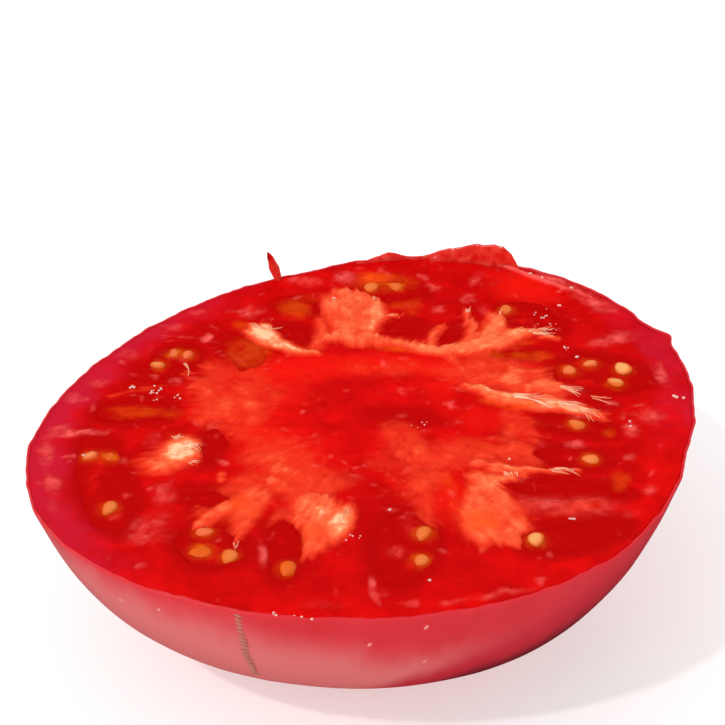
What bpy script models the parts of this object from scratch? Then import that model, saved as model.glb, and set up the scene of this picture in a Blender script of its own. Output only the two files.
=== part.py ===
"""A beefsteak tomato cut across, lying on its blossom end with the cut face up.

The flesh and its skin grew as one piece, and are one solid. Pockets in the cut face, the locules,
are filled with seed jelly, one solid to a pocket, and the seeds lie in beds in the jelly. A torn
flap and a curl of skin stand up at the back of the rim, and are still part of the fruit.

The origin is on the surface that the half lies on, under the middle of its outline.
+Z is up, +X runs along the longer way across the face, and +Y points to the torn rim.
"""

import math
from collections import namedtuple

import bmesh
import bpy
from mathutils import Matrix, Vector

MM = 0.001
SHARP_ANGLE = 40
MERGE_DISTANCE = 0.01 * MM

# The cut face. Its outline is a circle with lobes: how many, how deep, and the bearing of one of them.
FACE_RADIUS = 55.9 * MM
LOBES = (
    (1, 1.9 * MM, -41),
    (2, 4.7 * MM, 32),
    (3, 1.3 * MM, -49),
    (4, 0.8 * MM, 31),
    (6, 0.25 * MM, 21),
)
FACE_SIDES = 72

# The dome under it is a superellipse, cut below the widest part of the whole fruit.
HEIGHT = 38 * MM
CUT_BELOW_WIDEST = 34 * MM
DOME_FULLNESS = 2.9
FLATTENED_BY = 1 * MM
DOME_RINGS = 10

# The hollow of the blossom scar, in the middle of the patch that the half lies on. It is a shallow
# bowl, and its rings are shares of its radius.
SCAR_RADIUS = 5 * MM
SCAR_DEPTH = 1.6 * MM
SCAR_RINGS = (0.7, 0.35)

# Locules and their jelly.
JELLY_SINK = 0.8 * MM
CLEARANCE = 0.3 * MM
LOCULE_WOBBLE = 0.07
LOCULE_SIDES = 16
LOCULE_RINGS = 8

# Seeds. Their lengths and widths below are for a face of SEEDS_SIZED_AT, and grow with the fruit as
# the locules that they lie in do.
SEEDS_SIZED_AT = 55.9 * MM
SEED_THICKNESS = 1.3 * MM
SEED_TAPER = 0.3
SEED_TILT = 9
SEED_SIDES = 10
SEED_RINGS = 6

# The torn flap at the back of the rim, and the curl of skin beside it. Bearings are in degrees.
FLAP_BEARINGS = (58, 92)
FLAP_PEAK_AT = 0.38
FLAP_RISE = 3.6 * MM
FLAP_END_SHARE = 0.15
FLAP_THICKNESS = 1.0 * MM
FLAP_INSET = 1.6 * MM
CURL_BEARING = 112
CURL_RISE = 6.4 * MM
CURL_WIDTH = 2.2 * MM
CURL_NARROWING = 0.7
CURL_THICKNESS = 0.7 * MM
CURL_LEAN = 1.6 * MM
CURL_BEND = 1.5
CURL_INSET = 1.4 * MM
TEAR_ROOT = 2 * MM

# A seed lies in its locule, along and across it as shares of the locule's half length and width.
Seed = namedtuple("Seed", "along across turn length width")
# A locule has a bearing and a reach, its middle's share of the way to the rim. Its length and width
# are shares of FACE_RADIUS, because locules grow with the fruit, and its depth is its own.
Locule = namedtuple("Locule", "bearing reach length width turn depth seeds")

LOCULES = (
    Locule(
        16, 0.73, 0.36, 0.23, -10, 11 * MM,
        (
            Seed(-0.56, 0.00, 50, 2.8 * MM, 2.4 * MM),
            Seed(-0.20, 0.46, 30, 3.2 * MM, 2.2 * MM),
            Seed(0.42, 0.28, -50, 4.0 * MM, 3.0 * MM),
            Seed(0.30, -0.45, -20, 3.4 * MM, 2.6 * MM),
        ),
    ),
    Locule(45, 0.73, 0.27, 0.19, -40, 9 * MM, (Seed(-0.70, -0.20, 115, 3.2 * MM, 2.2 * MM),)),
    Locule(35, 0.53, 0.20, 0.07, 0, 5 * MM, ()),
    Locule(58, 0.50, 0.13, 0.08, 70, 5 * MM, ()),
    Locule(76, 0.52, 0.15, 0.12, 0, 7 * MM, ()),
    Locule(
        84, 0.76, 0.27, 0.16, 0, 9 * MM,
        (
            Seed(-0.50, 0.26, 80, 3.6 * MM, 3.0 * MM),
            Seed(0.14, 0.30, 100, 3.2 * MM, 2.6 * MM),
        ),
    ),
    Locule(111, 0.76, 0.18, 0.10, -15, 6 * MM, ()),
    Locule(119, 0.60, 0.18, 0.09, -35, 7 * MM, ()),
    Locule(141, 0.61, 0.24, 0.15, -60, 8 * MM, ()),
    Locule(
        156, 0.77, 0.23, 0.15, 60, 8 * MM,
        (
            Seed(-0.42, 0.42, -70, 3.0 * MM, 2.0 * MM),
            Seed(0.34, 0.36, 30, 3.0 * MM, 1.8 * MM),
            Seed(0.46, -0.24, 20, 3.0 * MM, 2.0 * MM),
        ),
    ),
    Locule(179, 0.73, 0.28, 0.15, 5, 9 * MM, ()),
    Locule(-160, 0.47, 0.20, 0.09, 80, 5 * MM, ()),
    Locule(
        -155, 0.80, 0.54, 0.17, -75, 10 * MM,
        (
            Seed(0.45, 0.05, 145, 4.0 * MM, 2.3 * MM),
            Seed(-0.56, -0.20, 115, 3.2 * MM, 2.2 * MM),
            Seed(-0.48, 0.46, 155, 3.0 * MM, 1.6 * MM),
        ),
    ),
    Locule(-138, 0.60, 0.16, 0.09, -10, 6 * MM, ()),
    Locule(
        -125, 0.77, 0.25, 0.19, -30, 9 * MM,
        (
            Seed(-0.08, -0.34, 40, 4.0 * MM, 3.0 * MM),
            Seed(0.62, -0.10, 100, 3.6 * MM, 2.6 * MM),
            Seed(-0.38, 0.48, 30, 3.2 * MM, 2.2 * MM),
        ),
    ),
    Locule(-110, 0.72, 0.29, 0.12, 90, 8 * MM, (Seed(-0.56, -0.26, -15, 4.0 * MM, 2.6 * MM),)),
    Locule(
        -82, 0.69, 0.34, 0.21, 90, 9 * MM,
        (
            Seed(0.34, -0.60, -15, 4.0 * MM, 2.5 * MM),
            Seed(-0.36, -0.52, -30, 3.2 * MM, 2.4 * MM),
        ),
    ),
    Locule(-46, 0.85, 0.34, 0.14, 16, 8 * MM, (Seed(-0.66, 0.06, 75, 3.6 * MM, 2.7 * MM),)),
    Locule(-34, 0.70, 0.36, 0.13, -5, 9 * MM, ()),
    Locule(-21, 0.66, 0.25, 0.11, -10, 8 * MM, (Seed(0.50, -0.06, 0, 3.4 * MM, 2.4 * MM),)),
    Locule(-6, 0.64, 0.25, 0.11, -15, 7 * MM, (Seed(0.04, 0.00, -25, 3.4 * MM, 2.6 * MM),)),
)

FINISHES = {
    "tomato_skin_and_flesh": ((0.72, 0.02, 0.02), 0.25),
    "seed_jelly": ((0.50, 0.01, 0.01), 0.10),
    "seed": ((0.85, 0.55, 0.22), 0.45),
}


def face_radius(bearing):
    """How far the rim is from the middle of the lobes, at a bearing in radians."""
    return FACE_RADIUS + sum(
        depth * math.cos(count * (bearing - math.radians(turn))) for count, depth, turn in LOBES
    )


def rim_corner(side):
    """A corner of the rim before it is centred on the origin."""
    bearing = 2 * math.pi * side / FACE_SIDES
    return face_radius(bearing) * Vector((math.cos(bearing), math.sin(bearing)))


def middle_of_outline():
    """The middle of the rim's box, which becomes the origin."""
    corners = [rim_corner(side) for side in range(FACE_SIDES)]
    return Vector([(min(c[k] for c in corners) + max(c[k] for c in corners)) / 2 for k in (0, 1)])


MIDDLE = middle_of_outline()


def on_face(bearing, reach, height=HEIGHT):
    """A point at a share of the way from the middle to the rim, with its bearing in radians."""
    flat = reach * face_radius(bearing) * Vector((math.cos(bearing), math.sin(bearing))) - MIDDLE
    return Vector((flat.x, flat.y, height))


def inside_rim(bearing, inset):
    """The reach of a point that lies a given distance inside the rim."""
    return 1 - inset / face_radius(bearing)


def dome_share(depth):
    """The width of the dome at a depth under the cut face, as a share of the face's width."""
    below_widest = CUT_BELOW_WIDEST + HEIGHT + FLATTENED_BY

    def width(level):
        return (1 - (level / below_widest) ** DOME_FULLNESS) ** (1 / DOME_FULLNESS)

    return width(CUT_BELOW_WIDEST + depth) / width(CUT_BELOW_WIDEST)


def body_rings():
    """(share of the rim's radius, height) from the rim, down the dome, to the blossom scar."""
    depths = [HEIGHT * math.sin(math.pi / 2 * n / DOME_RINGS) for n in range(DOME_RINGS + 1)]
    dome = [(dome_share(depth), HEIGHT - depth) for depth in depths]
    scar = SCAR_RADIUS / FACE_RADIUS
    bowl = [(scar * share, SCAR_DEPTH * (1 - share ** 2)) for share in SCAR_RINGS]
    return dome + [(scar, 0)] + bowl


def finish(name):
    """A Principled BSDF of the named colour and roughness, made once."""
    if name in bpy.data.materials:
        return bpy.data.materials[name]
    colour, roughness = FINISHES[name]
    material = bpy.data.materials.new(name)
    material.use_nodes = True
    shader = material.node_tree.nodes["Principled BSDF"]
    shader.inputs["Base Color"].default_value = (*colour, 1)
    shader.inputs["Roughness"].default_value = roughness
    shader.inputs["Metallic"].default_value = 0
    return material


def add_object(name, shape, collection, finish_name=None):
    """Turns a bmesh into an object. One with no finish is a cutter or a piece to join on."""
    mesh = bpy.data.meshes.new(name)
    shape.to_mesh(mesh)
    shape.free()
    made = bpy.data.objects.new(name, mesh)
    collection.objects.link(made)
    if finish_name:
        mesh.materials.append(finish(finish_name))
        mesh.shade_smooth()
        mesh.set_sharp_from_angle(angle=math.radians(SHARP_ANGLE))
    else:
        made.hide_render = True
        made.display_type = "WIRE"
    return made


def add_boolean(target, operation, tool):
    modifier = target.modifiers.new(f"{operation.lower()}_{tool.name}", "BOOLEAN")
    modifier.operation = operation
    modifier.object = tool
    return modifier


def body_shape():
    """A UV sphere whose top pole is the middle of the face, and whose rings are moved to body_rings."""
    rings = body_rings()
    shape = bmesh.new()
    bmesh.ops.create_uvsphere(shape, u_segments=FACE_SIDES, v_segments=len(rings) + 1, radius=1)
    for vertex in shape.verts:
        ring = round(math.acos(max(-1, min(1, vertex.co.z))) / math.pi * (len(rings) + 1))
        bearing = math.atan2(vertex.co.y, vertex.co.x)
        if ring == 0:
            vertex.co = on_face(0, 0)
        elif ring > len(rings):
            vertex.co = on_face(0, 0, SCAR_DEPTH)
        else:
            share, height = rings[ring - 1]
            vertex.co = on_face(bearing, share, height)
    return shape


def add_scoop(shape, locule, gap=0):
    """Adds an egg-shaped scoop, centred on the cut face, and smaller than its locule by a gap."""
    scoop = bmesh.ops.create_uvsphere(
        shape, u_segments=LOCULE_SIDES, v_segments=LOCULE_RINGS, radius=1
    )
    middle = on_face(math.radians(locule.bearing), locule.reach)
    turned = Matrix.Rotation(math.radians(locule.turn), 4, "Z")
    half_length = locule.length * FACE_RADIUS / 2
    half_width = locule.width * FACE_RADIUS / 2
    for vertex in scoop["verts"]:
        around = math.atan2(vertex.co.y, vertex.co.x)
        wobble = 1 + LOCULE_WOBBLE * math.cos(3 * around + math.radians(locule.bearing))
        vertex.co.x *= half_length * wobble - gap
        vertex.co.y *= half_width * wobble - gap
        vertex.co.z *= locule.depth - gap
        vertex.co = middle + turned @ vertex.co


def jelly_shape(locule):
    """The lower part of a scoop, cut level a little under the cut face."""
    shape = bmesh.new()
    add_scoop(shape, locule, CLEARANCE)
    bmesh.ops.bisect_plane(
        shape,
        geom=shape.verts[:] + shape.edges[:] + shape.faces[:],
        dist=MERGE_DISTANCE,
        plane_co=(0, 0, HEIGHT - JELLY_SINK),
        plane_no=(0, 0, 1),
        clear_outer=True,
    )
    bmesh.ops.holes_fill(shape, edges=[edge for edge in shape.edges if edge.is_boundary])
    bmesh.ops.recalc_face_normals(shape, faces=shape.faces[:])
    return shape


def seed_place(locule, seed, number):
    """Where a seed lies: flat on the jelly, half sunk in it, and tilted a little."""
    along = seed.along * locule.length * FACE_RADIUS / 2
    across = seed.across * locule.width * FACE_RADIUS / 2
    middle = on_face(math.radians(locule.bearing), locule.reach, HEIGHT - JELLY_SINK)
    locule_turn = Matrix.Rotation(math.radians(locule.turn), 4, "Z")
    seed_turn = Matrix.Rotation(math.radians(seed.turn), 4, "Z")
    tilt = Matrix.Rotation(math.radians(SEED_TILT if number % 2 else -SEED_TILT), 4, "X")
    return (
        Matrix.Translation(middle)
        @ locule_turn
        @ Matrix.Translation((along, across, 0))
        @ seed_turn
        @ tilt
    )


def add_seed(shape, seed, gap=0, place=None):
    """Adds a flat drop with its narrow end at +X, larger than the seed by a gap."""
    made = bmesh.ops.create_uvsphere(
        shape, u_segments=SEED_SIDES, v_segments=SEED_RINGS, radius=1
    )
    growth = FACE_RADIUS / SEEDS_SIZED_AT
    for vertex in made["verts"]:
        taper = 1 - SEED_TAPER * vertex.co.x
        vertex.co.x *= growth * seed.length / 2 + gap
        vertex.co.y *= growth * taper * seed.width / 2 + gap
        vertex.co.z *= SEED_THICKNESS / 2 + gap
        if place:
            vertex.co = place @ vertex.co


def flap_shape():
    """A grid bent along the rim. Its lower edge is rooted in the flesh and its upper edge is torn."""
    shape = bmesh.new()
    bmesh.ops.create_grid(shape, x_segments=12, y_segments=2, size=1)
    first, last = (math.radians(bearing) for bearing in FLAP_BEARINGS)
    for vertex in shape.verts:
        along, up = (vertex.co.x + 1) / 2, (vertex.co.y + 1) / 2
        bearing = first + along * (last - first)
        hump = math.sin(math.pi * along ** (math.log(0.5) / math.log(FLAP_PEAK_AT)))
        top = FLAP_RISE * (FLAP_END_SHARE + (1 - FLAP_END_SHARE) * hump ** 2)
        height = HEIGHT - TEAR_ROOT + up * (TEAR_ROOT + top)
        vertex.co = on_face(bearing, inside_rim(bearing, FLAP_INSET), height)
    return shape


def curl_shape():
    """A narrow grid that stands on the rim, narrows to its tip and leans over as it rises."""
    shape = bmesh.new()
    bmesh.ops.create_grid(shape, x_segments=2, y_segments=6, size=1)
    bearing = math.radians(CURL_BEARING)
    foot = on_face(bearing, inside_rim(bearing, CURL_INSET))
    along_rim = Vector((-math.sin(bearing), math.cos(bearing), 0))
    for vertex in shape.verts:
        across, up = vertex.co.x, (vertex.co.y + 1) / 2
        height = -TEAR_ROOT + up * (TEAR_ROOT + CURL_RISE)
        half_width = CURL_WIDTH / 2 * (1 - CURL_NARROWING * up ** 2)
        lean = CURL_LEAN * max(0, height / CURL_RISE) ** CURL_BEND
        vertex.co = foot + along_rim * (across * half_width + lean) + Vector((0, 0, height))
    return shape


def add_tear(name, shape, thickness, cutters):
    """Gives a torn sheet its thickness, so that it can be joined to the fruit."""
    tear = add_object(name, shape, cutters)
    solidify = tear.modifiers.new("thickness", "SOLIDIFY")
    solidify.thickness = thickness
    solidify.offset = 0
    return tear


def all_seeds():
    """(locule, seed, number) of every seed, in the order of the locules."""
    found = [(locule, seed) for locule in LOCULES for seed in locule.seeds]
    return [(locule, seed, number) for number, (locule, seed) in enumerate(found, 1)]


def build_cutters(cutters):
    """The scoops of all locules in one cutter, and the beds of all seeds in another."""
    scoops, beds = bmesh.new(), bmesh.new()
    for locule in LOCULES:
        add_scoop(scoops, locule)
    for locule, seed, number in all_seeds():
        add_seed(beds, seed, CLEARANCE, seed_place(locule, seed, number))
    return add_object("locules", scoops, cutters), add_object("seed_beds", beds, cutters)


def build_body(parts, cutters, locules, seed_beds):
    body = add_object("tomato_half", body_shape(), parts, "tomato_skin_and_flesh")
    flap = add_tear("skin_flap", flap_shape(), FLAP_THICKNESS, cutters)
    curl = add_tear("skin_curl", curl_shape(), CURL_THICKNESS, cutters)
    for operation, tool in (
        ("UNION", flap),
        ("UNION", curl),
        ("DIFFERENCE", locules),
        ("DIFFERENCE", seed_beds),
    ):
        add_boolean(body, operation, tool)


def build_jelly(parts, seed_beds):
    for number, locule in enumerate(LOCULES, 1):
        name = f"seed_jelly_{number:02d}"
        jelly = add_object(name, jelly_shape(locule), parts, "seed_jelly")
        if locule.seeds:
            add_boolean(jelly, "DIFFERENCE", seed_beds)


def build_seeds(parts):
    for locule, seed, number in all_seeds():
        shape = bmesh.new()
        add_seed(shape, seed)
        made = add_object(f"seed_{number:02d}", shape, parts, "seed")
        made.matrix_world = seed_place(locule, seed, number)


def main():
    for old in list(bpy.data.objects):
        bpy.data.objects.remove(old, do_unlink=True)
    parts = bpy.data.collections.new("halved_tomato")
    cutters = bpy.data.collections.new("cutters")
    for collection in (parts, cutters):
        bpy.context.scene.collection.children.link(collection)
    locules, seed_beds = build_cutters(cutters)
    build_body(parts, cutters, locules, seed_beds)
    build_jelly(parts, seed_beds)
    build_seeds(parts)


main()
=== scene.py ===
# %% [markdown]
# # Half of a beefsteak tomato
#
# A ripe beefsteak tomato was cut across, and this half lies on its blossom end with the cut face up.
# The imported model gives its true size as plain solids: one for the fruit, one for the seed jelly in
# each pocket, which is called a locule, and one for each seed. The scene makes new surfaces in the same
# places: wet flesh, thin skin, jelly, seeds, torn skin and juice.

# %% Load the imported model
import math

import bpy
import numpy as np
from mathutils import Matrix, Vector
from mathutils.geometry import convex_hull_2d


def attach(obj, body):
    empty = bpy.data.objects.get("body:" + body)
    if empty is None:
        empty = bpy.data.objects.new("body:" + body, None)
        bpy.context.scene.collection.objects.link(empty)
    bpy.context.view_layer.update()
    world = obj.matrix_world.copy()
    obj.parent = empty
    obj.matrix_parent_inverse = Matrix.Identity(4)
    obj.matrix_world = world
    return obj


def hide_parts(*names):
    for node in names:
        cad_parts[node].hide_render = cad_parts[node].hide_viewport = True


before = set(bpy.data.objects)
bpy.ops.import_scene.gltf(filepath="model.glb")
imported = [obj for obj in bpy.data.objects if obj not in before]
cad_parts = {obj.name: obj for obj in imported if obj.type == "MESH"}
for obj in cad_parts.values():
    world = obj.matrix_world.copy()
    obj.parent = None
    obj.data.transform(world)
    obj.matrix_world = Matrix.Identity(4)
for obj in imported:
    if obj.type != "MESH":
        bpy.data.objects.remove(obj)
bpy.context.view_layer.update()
MM = 0.001
FRUIT = "tomato_half"
JELLIES = sorted(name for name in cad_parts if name.startswith("seed_jelly"))
SEEDS = sorted(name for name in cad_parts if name.startswith("seed_") and name not in JELLIES)
print(len(JELLIES), "pockets of jelly and", len(SEEDS), "seeds")

# %% [markdown]
# ## Where the fruit is
#
# All shapes are worked out in millimetres, and turned to metres when a mesh is made. The cut face is
# the height that most corners of the fruit's solid share. Its outline is read at 5 degree steps, and a
# short sum of cosines and sines is fitted to it, so that a smooth radius can be asked for at any bearing.
# Reading the solid, instead of writing its sizes down again, keeps both models the same size.

# %% Read the cut plane and the outline
OUTLINE_WAVES = 8


def node_points(name):
    """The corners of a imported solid, in millimetres."""
    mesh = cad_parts[name].data
    flat = np.empty(len(mesh.vertices) * 3)
    mesh.vertices.foreach_get("co", flat)
    return flat.reshape(-1, 3) / MM


fruit = node_points(FRUIT)
levels, shared_by = np.unique(np.round(fruit[:, 2], 2), return_counts=True)
FACE_Z = float(levels[shared_by.argmax()])
on_face = fruit[abs(fruit[:, 2] - FACE_Z) < 0.02]
bearings = np.arctan2(on_face[:, 1], on_face[:, 0])
radii = np.hypot(on_face[:, 0], on_face[:, 1])
step_of = np.round(np.degrees(bearings) / 5).astype(int) % 72
farthest = [np.flatnonzero(step_of == step)[radii[step_of == step].argmax()] for step in range(72)]


def waves(bearing):
    """1, then cos(k b) and sin(k b) for k = 1, 2, ... as the last axis of an array."""
    turns = np.arange(1, OUTLINE_WAVES + 1)
    angles = np.asarray(bearing, float)[..., None] * turns
    return np.concatenate([np.ones_like(angles[..., :1]), np.cos(angles), np.sin(angles)], axis=-1)


wave_sizes = np.linalg.lstsq(waves(bearings[farthest]), radii[farthest], rcond=None)[0]
print("cut face at", FACE_Z, "mm, radius", round(float(wave_sizes[0]), 1), "mm")

# %% The rim with its ripples and nicks
RIPPLES = ((17, 0.09, 0.4), (26, 0.08, 1.3), (41, 0.07, 2.2), (67, 0.05, 4.1), (103, 0.04, 5.0))
NICKS = ((23.5, 1.6, 1.1), (29.5, 3, -0.9), (38, 6, -0.8), (-13, 3, -0.35), (8, 4, 0.3), (104, 5, -0.9))


def rim(bearing, ragged=1):
    """The radius of the cut face at a bearing in radians: the fitted waves, ripples and nicks."""
    radius = waves(bearing) @ wave_sizes
    for count, size, shift in RIPPLES:
        radius = radius + ragged * size * np.cos(count * np.asarray(bearing) + shift)
    for middle, width, size in NICKS:
        away = (np.degrees(bearing) - middle + 180) % 360 - 180
        radius = radius + ragged * size * np.exp(-((away / width) ** 2))
    return radius


turn = np.linspace(0, 2 * np.pi, 72)
print("radius from", round(rim(turn).min(), 1), "to", round(rim(turn).max(), 1), "mm")

# %% [markdown]
# Under the face the fruit is a dome. A superellipse, x^n + z^n = 1, is rounder than a plain ellipse at
# the shoulder and flatter at the bottom, as a beefsteak is. The half starts some way below the widest
# part of the whole fruit, so the skin already slopes inwards at the cut. A sculpted sphere could have
# this shape too, but a formula gives the width at any depth, and skin, flesh and scar all need it.

# %% The dome under the cut face
CUT_BELOW_WIDEST = 34
FLATTENED_BY = 1
DOME_FULLNESS = 2.9
SCAR_RADIUS = 5
SCAR_DEPTH = 1.6


def dome_share(depth):
    """The dome's width at a depth under the face, as a share of the face's: (1 - t^n)^(1/n)."""
    whole = CUT_BELOW_WIDEST + FACE_Z + FLATTENED_BY
    level = (CUT_BELOW_WIDEST + np.asarray(depth, float)) / whole
    width = (1 - level ** DOME_FULLNESS) ** (1 / DOME_FULLNESS)
    return width / (1 - (CUT_BELOW_WIDEST / whole) ** DOME_FULLNESS) ** (1 / DOME_FULLNESS)


print("width of the patch that it lies on:", round(2 * rim(0) * float(dome_share(FACE_Z))), "mm")

# %% [markdown]
# ## Helpers for fields
#
# The flesh is painted and shaped with fields: numbers worked out for every point of the face at once.
# `cloud` is soft random mottling, `rise` is a smooth step, `ovals` are soft-edged spots and `stroke` is
# a brush stroke whose width changes along its way. A field is 0.5 on the edge of a spot or a stroke.
# Paint laid on by hand would do the same for the face's colour, but a field gives its heights too, and
# stays fine however close one looks.

# %% Smooth steps and random clouds
LATTICE = 256


def rise(low, high, value):
    """A smooth step from 0 at low to 1 at high: 3t^2 - 2t^3."""
    t = np.clip((value - low) / (high - low), 0, 1)
    return t * t * (3 - 2 * t)


def cloud(x, y, size, seed):
    """Random values from -1 to 1 on a square lattice with cells of a size, blended smoothly."""
    table = np.random.default_rng(seed).uniform(-1, 1, (LATTICE, LATTICE))
    u, v = np.asarray(x) / size + 0.37 * LATTICE, np.asarray(y) / size + 0.61 * LATTICE
    i, j = np.floor(u).astype(int), np.floor(v).astype(int)
    s, t = rise(0, 1, u - i), rise(0, 1, v - j)
    near = table[i % LATTICE, j % LATTICE] * (1 - s) + table[(i + 1) % LATTICE, j % LATTICE] * s
    i, j = i, j + 1
    far = table[i % LATTICE, j % LATTICE] * (1 - s) + table[(i + 1) % LATTICE, j % LATTICE] * s
    return near * (1 - t) + far * t


def clouds(x, y, size, seed, octaves=3):
    """Clouds of a size, plus finer ones that are half as wide and half as strong each time."""
    layers = [cloud(x, y, size / 2 ** k, seed + k) / 2 ** k for k in range(octaves)]
    return sum(layers) / 1.75


def wander(x, y, by, size, seed):
    """Moves points a little, so that what is painted at them gets a natural, uneven edge."""
    return x + by * clouds(x, y, size, seed), y + by * clouds(x, y, size, seed + 50)


def streaks(x, y, length, seed):
    """Streaks that run outwards from the core: clouds that are narrow across and long outwards."""
    cells_in_a_turn = LATTICE / (2 * np.pi)
    found = clouds(np.arctan2(y, x) * cells_in_a_turn, np.hypot(x, y) / length, 1, seed)
    return found * rise(6, 20, np.hypot(x, y))


spread = cloud(np.linspace(0, 99, 500), np.zeros(500), 3, 1)
print("clouds run from", round(spread.min(), 2), "to", round(spread.max(), 2))

# %% Soft ovals and brush strokes


def ovals(x, y, rows, soft=0.45):
    """Soft ovals, laid over each other. A row is x, y, length, width, turn in degrees, strength."""
    missing = np.ones_like(x)
    for middle_x, middle_y, length, width, turn, strength in rows:
        c, s = math.cos(math.radians(turn)), math.sin(math.radians(turn))
        along = ((x - middle_x) * c + (y - middle_y) * s) * 2 / length
        across = ((y - middle_y) * c - (x - middle_x) * s) * 2 / width
        missing *= 1 - strength * rise(1 + soft, 1 - soft, np.hypot(along, across))
    return 1 - missing


def stroke(x, y, path, widths, soft):
    """How far inside a stroke a point is: 1 well inside, 0.5 on its edge and 0 outside."""
    inside = np.full_like(x, -1e9)
    for (ax, ay), (bx, by), start, end in zip(path, path[1:], widths, widths[1:]):
        t = ((x - ax) * (bx - ax) + (y - ay) * (by - ay)) / ((bx - ax) ** 2 + (by - ay) ** 2)
        t = np.clip(t, 0, 1)
        away = np.hypot(x - ax - t * (bx - ax), y - ay - t * (by - ay))
        inside = np.maximum(inside, (start + (end - start) * t) / 2 - away)
    return rise(0, 1, 0.5 + inside / soft)


def strokes(x, y, rows, soft):
    """The strongest of several strokes. A row is a path, the widths along it and a strength."""
    found = np.zeros_like(x)
    for path, widths, strength in rows:
        found = np.maximum(found, strength * stroke(x, y, path, widths, soft))
    return found


print("strength in the middle of an oval:", ovals(np.zeros(1), np.zeros(1), [(0, 0, 4, 2, 0, 0.8)])[0])

# %% [markdown]
# ## The locules
#
# Each locule is a pocket of jelly. Its outline is the convex hull of the top corners of its packed
# jelly. For a convex outline, the distance to the nearest edge line tells how far inside a point is,
# which is all that a pocket's wall and its dark edge need.

# %% Outlines of the locules


def outline_of(name):
    """The outline of a jelly's top, as corners that run counterclockwise."""
    points = node_points(name)
    top = points[points[:, 2] > points[:, 2].max() - 0.05][:, :2]
    corners = top[convex_hull_2d([tuple(point) for point in top])]
    ahead = np.roll(corners, -1, axis=0)
    area = np.sum(corners[:, 0] * ahead[:, 1] - corners[:, 1] * ahead[:, 0])
    return corners if area > 0 else corners[::-1]


def depth_inside(x, y, corners):
    """The distance from a point to the nearest edge line: positive inside, negative outside."""
    ahead = np.roll(corners, -1, axis=0)
    lengths = np.hypot(*(ahead - corners).T)
    kept = lengths > 0.05
    depth = np.full_like(x, 1e9)
    for (ax, ay), (bx, by), length in zip(corners[kept], ahead[kept], lengths[kept]):
        depth = np.minimum(depth, ((bx - ax) * (y - ay) - (by - ay) * (x - ax)) / length)
    return depth


outlines = {name: outline_of(name) for name in JELLIES}
print("corners in an outline:", sorted({len(corners) for corners in outlines.values()}))

# %% Depth inside a pocket


def pocket_depth(x, y):
    """How far a point is inside the nearest pocket, with an uneven edge. It is negative in flesh."""
    x, y = wander(*wander(x, y, 1.1, 4.5, 11), 0.35, 1.3, 13)
    depth = np.full_like(x, -1e9)
    for corners in outlines.values():
        depth = np.maximum(depth, depth_inside(x, y, corners))
    return depth


centres = np.array([corners.mean(axis=0) for corners in outlines.values()])
print("pockets are up to", round(pocket_depth(*centres.T).max() * 2, 1), "mm wide")

# %% [markdown]
# ## The tissues of the cut face
#
# The red pulp is crossed by paler placental tissue, which carries the seeds: a ring of salmon-coloured
# arms with creamy, frayed ends. Round it are the locules, whose jelly is dark red and in places olive,
# and outside them the wall, which is cloudy pink on one side. They could be cut out as separate
# pieces, but they grew as one and fade into each other, so they are fields on one wet surface. The
# lists say where each tissue lies, in millimetres from the middle of the fruit.

# %% Salmon-coloured areas
# A row is x, y, length, width, turn in degrees and strength, as in every list of areas below.
SALMON_AREAS = (
    (-25, 6, 14, 20, 0, 0.34), (-29.5, 10, 3.4, 12, 0, 0.22), (-23, -3, 14, 10, -30, 0.26),
    (-13, 8, 14, 12, 0, 0.14), (-15, -14, 14, 11, -30, 0.44), (-12, -21, 19, 7, 8, 0.42),
    (-23, -25, 12, 8, 45, 0.50), (-10, -29.5, 11, 9, -20, 0.50), (-36.5, -14.5, 7, 7, 20, 0.45),
    (-33, -12, 8, 9, -20, 0.65), (5.5, -9, 8, 12, 15, 0.38), (2, -14, 6, 6, 0, 0.26),
    (17, -12.5, 13, 9, 0, 0.46), (24, 12, 19, 13, -12, 0.42), (30, 8, 12, 8, -20, 0.42),
    (3, 14, 16, 7, 0, 0.26), (-3, 30, 11, 12, 0, 0.55), (-5, 27, 6, 7, 0, 0.2),
    (26, -7, 6.5, 16, 8, 0.50), (9, -18, 9, 13, 0, 0.34), (9, -28, 5, 12, 0, 0.28),
    (20, -29, 12, 12, 0, 0.42), (24, 23, 12, 7, 10, 0.46), (31, -26.5, 16, 6, 0, 0.2),
    (36.5, -26, 8, 4.4, 0, 0.12),
)
print(len(SALMON_AREAS), "salmon areas")

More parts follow.
